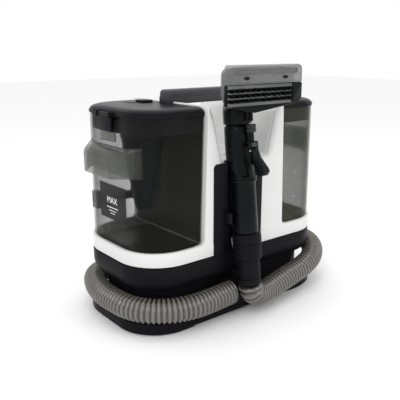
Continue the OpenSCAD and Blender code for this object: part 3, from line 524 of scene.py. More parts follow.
for liner_side in (-1, 1):
    liner_rings = []
    for lift in (0.05, 0.45):
        corners = filleted([(-liner_y, band_high.z + 1, 3), (liner_y, band_high.z + 1, 3), (liner_y, liner_top, 6),
                            (-liner_y, liner_top, 6)], 4)
        liner_rings.append([Vector((liner_side * (middle_half(c.y) + lift), c.x, c.y)) for c in corners])
    liner = skin("tank_side_liner", liner_rings, side_brown)
    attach(liner, "machine")

# ---- Black panel behind the gun ----
# A black moulded plate let into the front, with a half-round cradle and a lip that the gun's
# grip lies in. The white body is cut away behind it, and at the back for the rear panel.


def block(name, low, high, radius, material, picked=None, segments=4):
    """A moulded block with rounded edges; a test can pick which edges are rounded."""
    mesh = bpy.data.meshes.new(name)
    shape = bmesh.new()
    bmesh.ops.create_cube(shape, size=1)
    low, high = Vector(low), Vector(high)
    for v in shape.verts:
        v.co = [a + (b - a) * (c + 0.5) for a, b, c in zip(low, high, v.co)]
    chosen = [e for e in shape.edges if picked is None or picked(*(v.co for v in e.verts))]
    bmesh.ops.bevel(shape, geom=chosen, offset=radius, segments=segments, profile=0.5, affect="EDGES",
                    clamp_overlap=True)
    for v in shape.verts:
        v.co *= MM
    bmesh.ops.recalc_face_normals(shape, faces=shape.faces)
    shape.to_mesh(mesh)
    shape.free()
    mesh.materials.append(material)
    mesh.shade_smooth()
    mesh.set_sharp_from_angle(angle=math.radians(40))
    return link(name, mesh)


def join(name, pieces):
    """One mesh from several solids of one moulding."""
    whole = bmesh.new()
    materials = []
    for piece in pieces:
        part = piece.data
        offset = []
        for material in part.materials:
            if material not in materials:
                materials.append(material)
            offset.append(materials.index(material))
        first = len(whole.faces)
        whole.from_mesh(part)
        whole.faces.ensure_lookup_table()
        for face in whole.faces[first:]:
            face.material_index = offset[face.material_index]
        bpy.data.objects.remove(piece)
    mesh = bpy.data.meshes.new(name)
    whole.to_mesh(mesh)
    whole.free()
    for material in materials:
        mesh.materials.append(material)
    return link(name, mesh)


gun_lean = math.radians(6.7)
gun_base = Vector((-17, -123, 57))
gun_frame = Matrix.Translation(gun_base) @ Matrix.Rotation(-gun_lean, 4, "X")


def in_gun(x, y, s):
    return gun_frame @ Vector((x, y, s))


dock_low, dock_high = mm_box("dock_panel")
dock_face, cradle_half = -face_y - 6, 27
rest_low, rest_high = 150, 166


def carve(piece, tool, operation):
    """The piece cut by, or kept inside, a tool solid, which is then thrown away."""
    cut = piece.modifiers.new("cut", "BOOLEAN")
    cut.operation, cut.solver, cut.object = operation, "FAST", tool
    bpy.context.view_layer.update()
    mesh = bpy.data.meshes.new_from_object(piece.evaluated_get(bpy.context.evaluated_depsgraph_get()))
    name = piece.name
    bpy.data.objects.remove(piece)
    bpy.data.objects.remove(tool)
    mesh.set_sharp_from_angle(angle=math.radians(35))
    return link(name, mesh)


def gun_bore(radius, low, high, material):
    return skin("bore", [[in_gun(radius * math.cos(2 * math.pi * k / 48), radius * math.sin(2 * math.pi * k / 48), s)
                          for k in range(48)] for s in (low, high)], material)


cradle_r, cradle_wall, bore_low, bore_high, recess_gap = 24, 2.5, -20, 280, 0.3
middle = carve(middle, gun_bore(cradle_r + cradle_wall + recess_gap, bore_low, bore_high, white_gloss), "DIFFERENCE")
rear_low, rear_high = mm_box("rear_panel")
middle = carve(middle, block(
    "rear_recess", [a - recess_gap for a in rear_low],
    (rear_high.x + recess_gap, rear_high.y + 20, rear_high.z + recess_gap), 1, white_gloss), "DIFFERENCE")
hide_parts("front_shell", "rear_shell")
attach(middle, "machine")
dock_plate = stack("dock_plate", filleted([
    (dock_low.x, dock_low.z, 3), (dock_high.x, dock_low.z, 3), (dock_high.x, dock_high.z, 6),
    (dock_low.x, dock_high.z, 6)], 5), [(-face_y, 0), (dock_face + 1.2, 0), (dock_face + 0.4, 0.4),
                                        (dock_face, 1.4)], black_satin, place=facing)
dock_plate = carve(dock_plate, gun_bore(cradle_r, bore_low, bore_high, black_satin), "DIFFERENCE")
cradle = gun_bore(cradle_r + cradle_wall, 40, 240, black_satin)
cradle = carve(cradle, gun_bore(cradle_r, bore_low, bore_high, black_satin), "DIFFERENCE")
kept_part = block("kept_part", (dock_low.x, dock_face + 0.3, band_high.z + 0.5),
                  (dock_high.x, -60, dock_high.z - 0.5), 0.1, black_satin, segments=1)
cradle = carve(cradle, kept_part, "INTERSECT")
rest_loop = filleted([(gun_base.x - cradle_half, dock_face, 1), (gun_base.x + cradle_half, dock_face, 1),
                      (gun_base.x + cradle_half, dock_low.y, 3), (gun_base.x + cradle_half - 5, dock_low.y, 3),
                      (gun_base.x + 19.5, dock_face, 1), (gun_base.x - 19.5, dock_face, 1),
                      (gun_base.x - cradle_half + 5, dock_low.y, 3), (gun_base.x - cradle_half, dock_low.y, 3)], 3)
grip_rest = stack("grip_rest", rest_loop, [(rest_low, 0.6), (rest_low + 0.6, 0), (rest_high - 0.6, 0),
                                           (rest_high, 0.6)], black_satin)
dock = join("dock_panel_moulding", [dock_plate, cradle, grip_rest])
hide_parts("dock_panel")
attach(dock, "machine")

# ---- Carry handle ----
# A dark grey soft-feel grip in two mouldings that meet along its length. Its ends are let into
# the towers' tops, and a leg under each goes down into a pocket, screwed from inside the tower.
handle_grey = moulded("handle_grey_soft_plastic", (0.030, 0.030, 0.033), 0.42, grain=0.3, edge_highlight=0.3, mirror=0.35)
grip_low, grip_high = mm_box("handle_top")
base_low = mm_box("handle_bottom")[0]
handle_x, handle_y, parting = grip_high.x, grip_high.y, grip_low.z
handle_top = block("handle_top_moulding", (-handle_x, -handle_y, parting + 0.3), grip_high, 6, handle_grey,
                   lambda a, b: max(a.z, b.z) > parting + 5, segments=6)
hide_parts("handle_top")
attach(handle_top, "machine")
under_z = 316
handle_under = block("handle_under", (-handle_x, -handle_y, under_z), (handle_x, handle_y, parting), 3.5, handle_grey,
                     lambda a, b: min(a.z, b.z) < under_z + 5, segments=4)
legs = [block("leg", (min(x), -12, base_low.z), (max(x), 12, under_z + 4), 1, handle_grey)
        for x in ((62, 71), (-62, -71))]
handle_bottom = join("handle_bottom_moulding", [handle_under] + legs)
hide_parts("handle_bottom")
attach(handle_bottom, "machine")

# ---- Tanks ----
# Two lift-off tanks of clear plastic: the dirty-water tank smoked, the clean-water tank
# nearly clear. Each is one moulding with a pull hood and a catch for its lid's latch.


def clear_plastic(name, colour, alpha, roughness=0.12, streaks=0.0, mirror=0.15):
    """Clear plastic by its alpha: tinted, glossy, with clouds and fine scratches in its gloss."""
    paint = bpy.data.materials.new(name)
    paint.use_nodes = True
    nodes, links = paint.node_tree.nodes, paint.node_tree.links
    shader = nodes["Principled BSDF"]
    place = nodes.new("ShaderNodeTexCoord")
    cloud = nodes.new("ShaderNodeTexNoise")
    cloud.inputs["Scale"].default_value, cloud.inputs["Detail"].default_value = 9, 4
    tone = nodes.new("ShaderNodeValToRGB")
    tone.color_ramp.elements[0].color = (*(c * 0.85 for c in colour), 1)
    tone.color_ramp.elements[1].color = (*(min(1, c * 1.2) for c in colour), 1)
    thick = nodes.new("ShaderNodeMapRange")
    thick.inputs["From Min"].default_value, thick.inputs["From Max"].default_value = 0.3, 0.7
    thick.inputs["To Min"].default_value, thick.inputs["To Max"].default_value = alpha - streaks, alpha + streaks
    edge = nodes.new("ShaderNodeLayerWeight")
    edge.inputs["Blend"].default_value = 0.25
    dense = wire(nodes, "ShaderNodeMath", operation="MULTIPLY_ADD", use_clamp=True)
    dense.inputs[1].default_value = 0.5
    scratch = nodes.new("ShaderNodeTexNoise")
    scratch.inputs["Scale"].default_value = 160
    gloss = nodes.new("ShaderNodeMapRange")
    gloss.inputs["To Min"].default_value, gloss.inputs["To Max"].default_value = roughness * 0.7, roughness * 1.5
    wire_up(links, (place, "Object", cloud, "Vector"), (place, "Object", scratch, "Vector"),
                   (cloud, "Fac", tone, "Fac"), (cloud, "Fac", thick, "Value"), (edge, "Facing", dense, 0),
                   (thick, "Result", dense, 2), (dense, 0, shader, "Alpha"), (tone, "Color", shader, "Base Color"),
                   (scratch, "Fac", gloss, "Value"), (gloss, "Result", shader, "Roughness"))
    shader.inputs["Specular IOR Level"].default_value = mirror
    return paint


smoke_clear = clear_plastic("smoke_clear_plastic", (0.016, 0.017, 0.014), 0.17, roughness=0.06, streaks=0.02)
smoke_light = clear_plastic("smoke_hood_plastic", (0.060, 0.065, 0.055), 0.36, roughness=0.12, streaks=0.04,
                            mirror=0.4)
light_clear = clear_plastic("light_clear_plastic", (0.050, 0.054, 0.040), 0.31, roughness=0.06, streaks=0.03)
tank_bottom, tank_top = mm_box("dirty_tank")[0].z, 306
tank_x, tank_y, tank_corner, tank_wall = band_x - 7, band_y - 7, band_corner - 7, 2.5
guide_x, guide_y, tank_gap = 84, 14.5, 0.6


def tank_outline(inset, gap, z, steps=10):
    """The tank seen from above, on the left: round at its end, with a slot for the handle."""
    inner = -(middle_half(z) + tank_gap + gap)
    slot_x, slot_y = -guide_x - gap, guide_y + gap
    corner = tank_corner - inset
    outer = [(-tank_x + inset, -tank_y + inset, corner), (inner, -tank_y + inset, 3), (inner, -slot_y, 0.8),
             (slot_x, -slot_y, 0.8), (slot_x, slot_y, 0.8), (inner, slot_y, 0.8), (inner, tank_y - inset, 3),
             (-tank_x + inset, tank_y - inset, corner)]
    return filleted(outer, steps)


def tank_ring(side, inset, gap, z):
    return [Vector((side * -p.x, p.y, z)) for p in tank_outline(inset, gap, z)]


def end_wall_x(y):
    """Where the tank's outer end is, off the middle."""
    straight = tank_y - tank_corner
    beyond = max(0, abs(y) - straight)
    return tank_x - tank_corner + math.sqrt(tank_corner**2 - beyond**2)


def hood_ring(side, wall, z, roll=0):
    out_x, half = tank_x + 22 - wall - roll, 36 - wall - roll * 0.6
    flare = 66 - wall
    loop = filleted([(end_wall_x(flare), -flare, 0.1), (out_x, -half, 12), (out_x, half, 12),
                     (end_wall_x(flare), flare, 0.1)], 6)
    count = 12
    loop += [Vector((end_wall_x(flare - 2 * flare * k / count), flare - 2 * flare * k / count))
             for k in range(1, count)]
    return [Vector((side * p.x, p.y, z + 10 * max(0, 1 - (p.x - tank_x + 22) / 44) * (1 if roll or z > 250 else 0)))
            for p in loop]


def hollow_tank(name, side, material, hood_material):
    body = [tank_ring(side, i, i, z) for z, i in (
        (tank_bottom, 3), (tank_bottom + 0.8, 1), (tank_bottom + 2.5, 0), (150, 0), (200, 0), (250, 0),
        (tank_top - 1.5, 0), (tank_top - 0.4, 0.4), (tank_top, 1))]
    body += [tank_ring(side, tank_wall, tank_wall, z) for z in (tank_top - 0.4, 250, 200, 150, tank_bottom + 3)]
    shell = skin(name + "_shell", body, material)
    top, brow = 262, 226
    hood = [hood_ring(side, 2.5, top - 6, 5), hood_ring(side, 2.5, top - 9, 1), hood_ring(side, 2.5, brow + 0.6),
            hood_ring(side, 0.6, brow), hood_ring(side, 0, brow + 0.8), hood_ring(side, 0, top - 10),
            hood_ring(side, 0, top - 6, 0.8), hood_ring(side, 0, top - 2.6, 2.8), hood_ring(side, 0, top - 1, 6)]
    cover = skin(name + "_hood", hood, hood_material, sharp=50)
    catch = block(name + "_catch", (side * tank_x - 2.2, -19, 272), (side * tank_x + 2.2, 19, 285.5), 1.6,
                  hood_material)
    return join(name, [shell, cover, catch])


dirty_tank = hollow_tank("dirty_tank_moulding", -1, smoke_clear, smoke_light)
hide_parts("dirty_tank")
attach(dirty_tank, "dirty_tank")
clean_tank = hollow_tank("clean_tank_moulding", 1, light_clear, light_clear)
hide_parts("clean_tank")
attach(clean_tank, "clean_tank")

# ---- Printing on the tanks ----
# Ink on the plastic: a white word and three white lines on a grey film at the dirty tank's end,
# and two short level lines in faint grey on the clean tank's front.
white_ink = moulded("white_ink", (0.75, 0.75, 0.74), 0.5, grain=0.02)
grey_film = clear_plastic("grey_label_film", (0.010, 0.010, 0.012), 0.66, roughness=0.3, mirror=0.1)


def on_end(loop_yz, side, lift=0.25, thick=0.2):
    """Two rings of a thin print that follows the tank's round end."""
    return [[Vector((side * (end_wall_x(p.x) + lift + t), p.x, p.y)) for p in loop_yz] for t in (0, thick)]


def letters(word, size, middle, side):
    """Type as a mesh, bent on to the tank's end."""
    text = bpy.data.curves.new(word, "FONT")
    text.body, text.size, text.align_x, text.align_y = word, size, "CENTER", "CENTER"
    text.resolution_u, text.extrude = 3, 0.12
    typed = link(word, text)
    bpy.context.view_layer.update()
    mesh = bpy.data.meshes.new_from_object(typed.evaluated_get(bpy.context.evaluated_depsgraph_get()))
    bpy.data.objects.remove(typed)
    for v in mesh.vertices:
        y, z, depth = middle[0] - side * -v.co.x, middle[1] + v.co.y, v.co.z + 0.12
        v.co = Vector((side * (end_wall_x(y) + 0.5 + depth), y, z)) * MM
    flip = bmesh.new()
    flip.from_mesh(mesh)
    bmesh.ops.recalc_face_normals(flip, faces=flip.faces)
    flip.to_mesh(mesh)
    flip.free()
    mesh.materials.append(white_ink)
    return link(word + "_print", mesh)


def print_bar(name, y_from, y_to, z, height, side, material=white_ink, lift=0.3):
    steps = 8
    low = [Vector((y_from + (y_to - y_from) * k / steps, z)) for k in range(steps + 1)]
    high = [Vector((p.x, z + height)) for p in reversed(low)]
    return skin(name, on_end(low + high, side, lift), material)


label = print_bar("label_film", -40, 30, 158, 52, -1, grey_film, lift=0.1)
marks = [letters("MAX", 13, (-4, 186), -1)]
marks += [print_bar("fill_line", -19, 11, 175, 1.1, -1), print_bar("short_line", -14, 6, 170.5, 0.9, -1),
          print_bar("short_line", -10, 2, 166.5, 0.9, -1)]
dirty_print = join("dirty_tank_print", [label] + marks)
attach(dirty_print, "dirty_tank")
faint_ink = moulded("faint_grey_ink", (0.34, 0.34, 0.32), 0.5, grain=0.02)
ladder = [block("level", (107, -tank_y - 0.35, z), (115, -tank_y + 0.1, z + 0.9), 0.1, faint_ink, segments=1)
          for z in (163, 204)]
clean_print = join("clean_tank_print", ladder)
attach(clean_print, "clean_tank")

# ---- Lids ----
# Black moulded caps with a rolled rim. A collar with a rubber seal reaches down inside each
# tank, and two ears take the latch pin.
lid_black = moulded("lid_black_plastic", (0.006, 0.006, 0.008), 0.3, grain=0.2, edge_highlight=0.1)


def tank_lid(name, side):
    rim_z, lid_top, roll = tank_top + 5, tank_top + 12, 16
    cap = [tank_ring(side, 1, 0.4, tank_top + 0.2), tank_ring(side, -0.6, 0, tank_top + 0.4),
           tank_ring(side, -1, 0, tank_top + 1), tank_ring(side, -1, 0, rim_z - 0.6), tank_ring(side, -0.5, 0, rim_z)]
    for k in range(1, 9):
        a = math.pi / 2 * k / 8
        cap.append(tank_ring(side, roll * (1 - math.cos(a)), 0, rim_z + (lid_top - rim_z) * math.sin(a)))
    inner = [tank_ring(side, roll + 3, 3, lid_top - 2.4), tank_ring(side, 5, 5, rim_z - 0.4),
             tank_ring(side, 5, 5, tank_top - 22), tank_ring(side, 3.4, 3.4, tank_top - 22),
             tank_ring(side, 3, 3, tank_top - 21), tank_ring(side, 3, 3, tank_top + 0.2)]
    moulding = skin(name, inner + cap, lid_black, sharp=30)
    ears = [block("ear", (side * 176, y - 1.5, tank_top + 0.4), (side * 182.6, y + 1.5, tank_top + 5.8), 1.2,
                  lid_black) for y in (-16.5, 16.5)]
    return join(name, [moulding] + ears)


dirty_lid = tank_lid("dirty_lid_moulding", -1)
hook_recess = block("finger_recess", (-122, 26, tank_top + 11.6), (-98, 52, tank_top + 12.4), 0.3, black_satin)
lift_tab = block("lift_tab", (-104, 20, tank_top + 11.4), (-86, 42, tank_top + 15.5), 1.8, lid_black)
dirty_lid = join("dirty_lid_moulding", [dirty_lid, hook_recess, lift_tab])
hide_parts("dirty_lid")
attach(dirty_lid, "dirty_lid")
clean_lid = tank_lid("clean_lid_moulding", 1)
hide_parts("clean_lid")
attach(clean_lid, "clean_lid")

# ---- Latches ----
# A black moulded flap on a steel pin holds each lid down on its tank's catch. Three ribs give
# the thumb a hold.


def latch(name, side):
    x = side * (tank_x + 4.5)
    flap = block(name, (x - 2, -18, tank_top - 20), (x + 1.4 if side < 0 else x + 2, 18, tank_top - 0.6), 1.3,
                 lid_black)
    knuckle = skin("knuckle", [[Vector((x + 2.6 * math.cos(a), y, tank_top + 3.2 + 2.6 * math.sin(a)))
                                for a in (2 * math.pi * k / 20 for k in range(20))]
                               for y in (-14.6, 14.6)], lid_black)
    neck = block("neck", (x - 2, -14.6, tank_top - 1.5), (x + 1.4, 14.6, tank_top + 3.2), 0.5, lid_black)
    ribs = [block("rib", (x + side * 1.7 - 0.5, -12, tank_top - 17 + 3 * k),
                  (x + side * 1.7 + 0.5, 12, tank_top - 15.8 + 3 * k), 0.4, lid_black, segments=2) for k in range(3)]
    return join(name, [flap, knuckle, neck] + ribs)


for latch_name, latch_side in (("dirty_latch", -1), ("clean_latch", 1)):
    flap = latch(latch_name + "_moulding", latch_side)
    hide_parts(latch_name)
    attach(flap, latch_name)

# ---- Separator ----
# A dark ringed cone of moulded plastic that hangs from the dirty lid, where air and dirty
# water part.
cone_low, cone_high = mm_box("separator_cone")
cone_x = (cone_low.x + cone_high.x) / 2
separator_black = moulded("separator_dark_plastic", (0.005, 0.006, 0.010), 0.2, grain=0.05)


def lathe(name, profile, place, material, count=48, sharp=35, caps=(True, True)):
    """A turned piece: (along, radius) pairs, each ring put in place by a function."""
    rings = [[place(r * math.cos(a), r * math.sin(a), along) for a in (2 * math.pi * k / count for k in range(count))]
             for along, r in profile]
    return skin(name, rings, material, sharp=sharp, caps=caps)


def in_cone(x, y, z):
    return Vector((cone_x + x, y, z))


cone_profile = [(cone_low.z + 1, 4), (cone_low.z, 8), (cone_low.z + 0.5, 12), (cone_low.z + 4, 14)]
for k in range(1, 8):
    z = cone_low.z + 4 + 15 * k
    r = 14 + 18 * k / 7
    cone_profile += [(z - 1.2, r - 0.3), (z - 0.8, r + 0.7), (z + 0.4, r + 0.7), (z + 0.8, r)]
cone_profile += [(cone_high.z - 13, 32), (cone_high.z - 12.2, 31), (cone_high.z - 12, 12), (cone_high.z - 0.5, 11.9)]
separator = lathe("separator", cone_profile, in_cone, separator_black)
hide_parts("separator_cone")
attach(separator, "dirty_lid")

# ---- Gun ----
# A black spray gun in two screwed halves: a grip on two hose cuffs, a collar, and a wider
# barrel whose spigot holds the nozzle. A thin seam runs down its front and back.
gun_black = moulded("gun_black_plastic", (0.003, 0.0036, 0.004), 0.22, grain=0.1, edge_highlight=0.12, mirror=0.1)
seam_half, seam_depth = math.radians(1.6), 0.5


def seamed_ring(radius, centre_y, s, count=48):
    """A circle in the gun's frame, notched where the halves meet."""
    ring = []
    for k in range(count):
        a = 2 * math.pi * k / count
        ring.append((a, 0))
        if k in (count // 4, 3 * count // 4):
            ring[-1:] = [(a - seam_half, 0), (a, seam_depth), (a + seam_half, 0)]
    return [in_gun((radius - cut) * math.cos(a), centre_y + (radius - cut) * math.sin(a), s) for a, cut in ring]


cuff_top, collar_z, barrel_z, barrel_top, barrel_y = 78, 154, 166, 236, 5
grip_r, barrel_r = 17.5, 20
outline = [(cuff_top, 12, 0), (cuff_top + 0.2, grip_r - 1, 0), (cuff_top + 1.2, grip_r, 0), (110, grip_r, 0),
           (collar_z - 4, grip_r, 0), (collar_z - 2, grip_r + 0.3, 0), (collar_z, grip_r + 1.6, 0),
           (collar_z + 1, grip_r + 2, 0), (collar_z + 3.4, grip_r + 2, 0), (collar_z + 3.8, grip_r + 0.9, 0),
           (collar_z + 4.6, grip_r + 0.9, 0), (collar_z + 5, grip_r + 2, 0), (collar_z + 7.4, grip_r + 2, 0),
           (collar_z + 8.4, grip_r + 0.7, 0.4), (collar_z + 10, grip_r, 1.4), (barrel_z + 1, grip_r + 0.7, 2.8),
           (barrel_z + 5, grip_r + 1.9, 4.3), (barrel_z + 9, barrel_r, barrel_y), (210, barrel_r, barrel_y),
           (barrel_top - 6, barrel_r, barrel_y), (barrel_top - 3, barrel_r - 0.8, barrel_y),
           (barrel_top - 1, barrel_r - 2, barrel_y), (barrel_top, barrel_r - 4, barrel_y),
           (barrel_top + 12, barrel_r - 4, barrel_y), (barrel_top + 12, 13, barrel_y),
           (barrel_top, 12.5, barrel_y)]
gun_tube = skin("gun_tube", [seamed_ring(r, y, s) for s, r, y in outline], gun_black, sharp=28)


def gun_block(name, low, high, radius, material, **extra):
    piece = block(name, low, high, radius, material, **extra)
    piece.data.transform(Matrix.Diagonal((1 / MM, 1 / MM, 1 / MM, 1)))
    piece.data.transform(Matrix.Diagonal((MM, MM, MM, 1)) @ gun_frame)
    return piece


housing_left, housing_right = (
    gun_block("trigger_housing", (x - 1.6, -26.5, barrel_z + 12), (x + 1.6, -12, barrel_top - 24), 1.4, gun_black)
    for x in (-7.4, 7.4))
housing_front = gun_block("housing_front", (-9, -27, 203), (9, -14, barrel_top - 24), 2.5, gun_black)
grey_pad = gun_block("trigger_lock", (-5, -28, 204), (5, -26.4, 210), 0.7, handle_grey)
gun = join("gun_moulding", [gun_tube, housing_left, housing_right, housing_front, grey_pad])
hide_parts("gun_shell_left", "gun_shell_right")
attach(gun, "gun")
cuff_black = moulded("cuff_black_rubber", (0.004, 0.004, 0.005), 0.42, grain=0.3, edge_highlight=0.12)
lower = [(0, 12), (0.2, 16.4), (1, grip_r), (9, grip_r), (9.4, 16.8), (10.4, 16.8), (10.8, grip_r), (37, grip_r),
         (38.6, 16.9), (39, 12)]
cuff_lower = lathe("cuff_lower_moulding", lower, in_gun, cuff_black)
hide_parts("cuff_lower")
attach(cuff_lower, "gun")
upper = [(39, 12), (39.2, 19.5), (40, 21), (41.5, 21.5), (62, 21.5), (62.4, 20.9), (63.2, 20.9), (63.6, 21.5),
         (75, 21.5), (77, 21), (78, 19.4), (78, 12)]
cuff_upper = lathe("cuff_upper_moulding", upper, in_gun, cuff_black)
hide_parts("cuff_upper")
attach(cuff_upper, "gun")
line_y = barrel_y - barrel_r - 7.5


def in_line(x, y, s):
    return in_gun(x, y + line_y, s)


line_grey = moulded("line_grey_plastic", (0.030, 0.030, 0.032), 0.26, grain=0.1, coat=0.2)
rod = lathe("spray_rod", [(212, 2.6), (212.3, 3.5), (225, 3.5), (225, 2)], in_line, gun_black, count=20)
fitting = [(224, 4), (224.2, 6), (225.2, 7), (229, 7), (229.4, 6.3), (230.2, 6.3), (230.6, 7), (234.8, 7), (235.8, 6.2),
           (236, 3)]
union_nut = lathe("spray_union", fitting, in_line, line_grey, count=32)
spray_line = join("spray_line_fitting", [rod, union_nut])
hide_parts("spray_line")
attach(spray_line, "gun")

# ---- Trigger ----
# A black moulded beak on a steel pin in front of the barrel. The finger pulls its lower arm
# back.
trigger_y, trigger_s = -25, 199
beak = filleted([(-5, 1, 1), (-9, -9, 4), (-23, -24, 3), (-25, -29, 2.5), (-21, -34.5, 3), (-9, -36, 3),
                 (-6.8, -27, 3), (0.8, -14, 3), (4.0, 0, 1), (2.5, 4, 1.5), (-2.5, 4, 1.5)], 5)


def across_gun(loop, x):
    return [in_gun(x, trigger_y + p.x, trigger_s + p.y) for p in loop]


trigger = stack("trigger_moulding", beak, [(-5.6, 1.2), (-5.2, 0.4), (-4.4, 0), (4.4, 0), (5.2, 0.4), (5.6, 1.2)],
                gun_black, place=across_gun, sharp=50)
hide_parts("trigger")
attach(trigger, "trigger")

# ---- Nozzle ----
# A smoked clear funnel and flat suction lip over a grey brush plate, with a black end cap and
# a black neck. It pushes on to the gun's spigot.
nozzle_clear = clear_plastic("nozzle_clear_plastic", (0.19, 0.195, 0.19), 0.50, roughness=0.14, streaks=0.12)
lip_low, lip_high = mm_box("suction_lip")
plate_low, plate_high = mm_box("brush_plate")
head_back_y, mouth_y = lip_high.y, lip_low.y
round_count = 48


def sleeve_ring(radius, s):
    return [in_gun(radius * math.cos(a), barrel_y + radius * math.sin(a), s)
            for a in (2 * math.pi * k / round_count for k in range(round_count))]


def head_point(angle, inset, y):
    half_x, half_z = (lip_high.x - lip_low.x) / 2 - 5 - inset, (lip_high.z - plate_low.z) / 2 - 3 - inset
    middle_x, middle_z = (lip_high.x + lip_low.x) / 2, (lip_high.z + plate_low.z) / 2
    c, s = math.cos(angle), math.sin(angle)
    return Vector((middle_x + half_x * math.copysign(abs(c) ** 0.3, c), y,
                   middle_z + half_z * math.copysign(abs(s) ** 0.3, s)))


def funnel_point(angle, t, inset):
    """A point on the funnel: t runs from 0 on the sleeve to 1 at the head's straight part."""
    smooth = t * t * (3 - 2 * t)
    low = in_gun((19.3 - inset) * math.cos(angle), barrel_y + (19.3 - inset) * math.sin(angle), 256)
    return low.lerp(head_point(angle, inset, funnel_y), smooth)


funnel_y = head_back_y + 12
turns = [2 * math.pi * k / round_count for k in range(round_count)]


def funnel_rings(inset):
    rings = [sleeve_ring(19.3 - inset, 246)]
    rings += [[funnel_point(a, k / 14, inset) for a in turns] for k in range(15)]
    rings.append([head_point(a, inset, head_back_y + 0.2) for a in turns])
    return rings


outer, hollow = funnel_rings(0), [sleeve_ring(16.9, 237)] + funnel_rings(2.4)
outer = [sleeve_ring(r, s) for s, r in ((237, 19.3), (239.5, 20.1), (242, 19.3))] + outer
funnel = skin("nozzle_funnel_moulding", outer + list(reversed(hollow)), nozzle_clear, sharp=40, closed=True)
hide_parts("nozzle_funnel")
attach(funnel, "nozzle")
lip_loop = filleted([(lip_low.x, lip_low.z, 2), (lip_high.x, lip_low.z, 2), (lip_high.x, lip_high.z, 8),
                     (lip_low.x, lip_high.z, 4)], 8)
slot_low, slot_high = 363.5, 369
slot_loop = filleted([(lip_low.x + 7, slot_low, 2.4), (lip_high.x - 9, slot_low, 2.4), (lip_high.x - 9, slot_high, 2.4),
                      (lip_low.x + 7, slot_high, 2.4)], 8)
lip_rings = [facing(drawn_in(lip_loop, i), y) for y, i in (
    (head_back_y, 0.6), (head_back_y - 1, 0), (mouth_y + 3, 0), (mouth_y + 1, 0.9), (mouth_y, 3))]
lip_rings += [facing(drawn_in(slot_loop, i), y) for y, i in ((mouth_y, -0.8), (mouth_y + 0.8, 0), (head_back_y, 0))]
lip = skin("suction_lip_moulding", lip_rings, nozzle_clear, closed=True)
slot_back = block("slot_back", (lip_low.x + 7, mouth_y + 3.4, slot_low - 1),
                  (lip_high.x - 9, mouth_y + 4.4, slot_high + 1), 0.2, nozzle_clear)
ridges = [block("ridge", (lip_low.x + 3, mouth_y - 0.8, z), (lip_high.x - 4, mouth_y + 0.8, z + h), 0.45, nozzle_clear,
                segments=2) for z, h in ((350.8, 1.2), (361.6, 0.9), (371, 1.1))]
bosses = [lathe("boss", [(mouth_y + 1, 2.2), (mouth_y - 0.5, 2.2), (mouth_y - 0.7, 1.9), (mouth_y - 0.2, 1)],
                lambda x, z, y, at=at: Vector((at + x * 2.2, y, 358.3 + z)), gun_black, count=28)
          for at in (-57, 14.5)]
lip = join("suction_lip_moulding", [lip, slot_back] + ridges + bosses)
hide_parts("suction_lip")
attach(lip, "nozzle")
brush_grey = moulded("brush_grey_plastic", (0.10, 0.104, 0.104), 0.32, grain=0.15, mottle=0.35, mirror=0.3)
backing = block("brush_backing", (plate_low.x, mouth_y + 4, plate_low.z),
                (plate_high.x, head_back_y, plate_high.z), 1.2, black_satin)
bars = []
for bar_low, bar_high, wave_height in ((323.2, 327.6, 0), (332.1, 334.2, 0.45), (338.6, 340.6, 0.45), (345, 349.8, 0)):
    rings = []
    for k in range(97):
        x = plate_low.x + 0.3 + (plate_high.x - plate_low.x - 0.6) * k / 96
        lift = wave_height * math.cos(2 * math.pi * k / 8)
        z, top, front = bar_low + lift, bar_high + lift, mouth_y + 0.4
        rings.append([Vector((x, mouth_y + 4.6, z)), Vector((x, front + 0.7, z)), Vector((x, front, z + 0.6)),
                      Vector((x, front, top - 0.6)), Vector((x, front + 0.7, top)), Vector((x, mouth_y + 4.6, top))])
    bars.append(skin("bar", rings, brush_grey))
brush = join("brush_plate_moulding", [backing] + bars)
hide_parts("brush_plate")
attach(brush, "nozzle")
cap = stack("nozzle_end_cap", filleted([(plate_high.x, plate_low.z, 1), (lip_high.x, plate_low.z, 9),
                                        (lip_high.x, plate_high.z, 1.5), (plate_high.x, plate_high.z, 1)], 8),
            [(head_back_y, 0.3), (head_back_y - 0.6, 0), (mouth_y + 2, 0), (mouth_y + 0.6, 0.6), (mouth_y, 1.8)],
            gun_black, place=facing)
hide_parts("nozzle_cap")
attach(cap, "nozzle")
neck_rings = []
neck_from, neck_to, sleeve_out, sleeve_in = 140, 400, 20.4, 19.5
start = [math.radians(neck_from + (neck_to - neck_from) * n / 20) for n in range(21)]
for s_at in (236.6, 244, 250):
    neck_rings.append([in_gun(r * math.cos(a), barrel_y + r * math.sin(a), s_at)
                       for r, angles in ((sleeve_out, start), (sleeve_in, start[::-1])) for a in angles])
for k in range(13):
    t = k / 12
    from_angle, to_angle = math.radians(neck_from + 84 * t), math.radians(neck_to - 84 * t)
    sweep = [from_angle + (to_angle - from_angle) * n / 20 for n in range(21)]
    neck_rings.append([funnel_point(a, t, -0.9) for a in sweep] + [funnel_point(a, t, -0.1) for a in reversed(sweep)])
last = [from_angle + (to_angle - from_angle) * n / 20 for n in range(21)]
neck_rings.append([head_point(a, -0.9, head_back_y) for a in last]
                  + [head_point(a, -0.1, head_back_y) for a in reversed(last)])
keel = skin("nozzle_black_neck", neck_rings, gun_black, sharp=50)
under = [(lip_low.x + 12, plate_low.z + 1, 0.3), (lip_low.x + 13, plate_low.z - 3, 2), (-38, 313, 6),
         (lip_high.x - 12, plate_low.z - 1.5, 4), (lip_high.x - 6, plate_low.z + 1, 0.3)]
wedge = stack("nozzle_wedge", filleted(under, 6), [
    (funnel_y - 2, 0.5), (funnel_y - 3, 0), (mouth_y + 3, 0), (mouth_y + 2.2, 0.8)], gun_black, place=facing)
keel = join("nozzle_black_neck", [keel, wedge])
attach(keel, "nozzle")

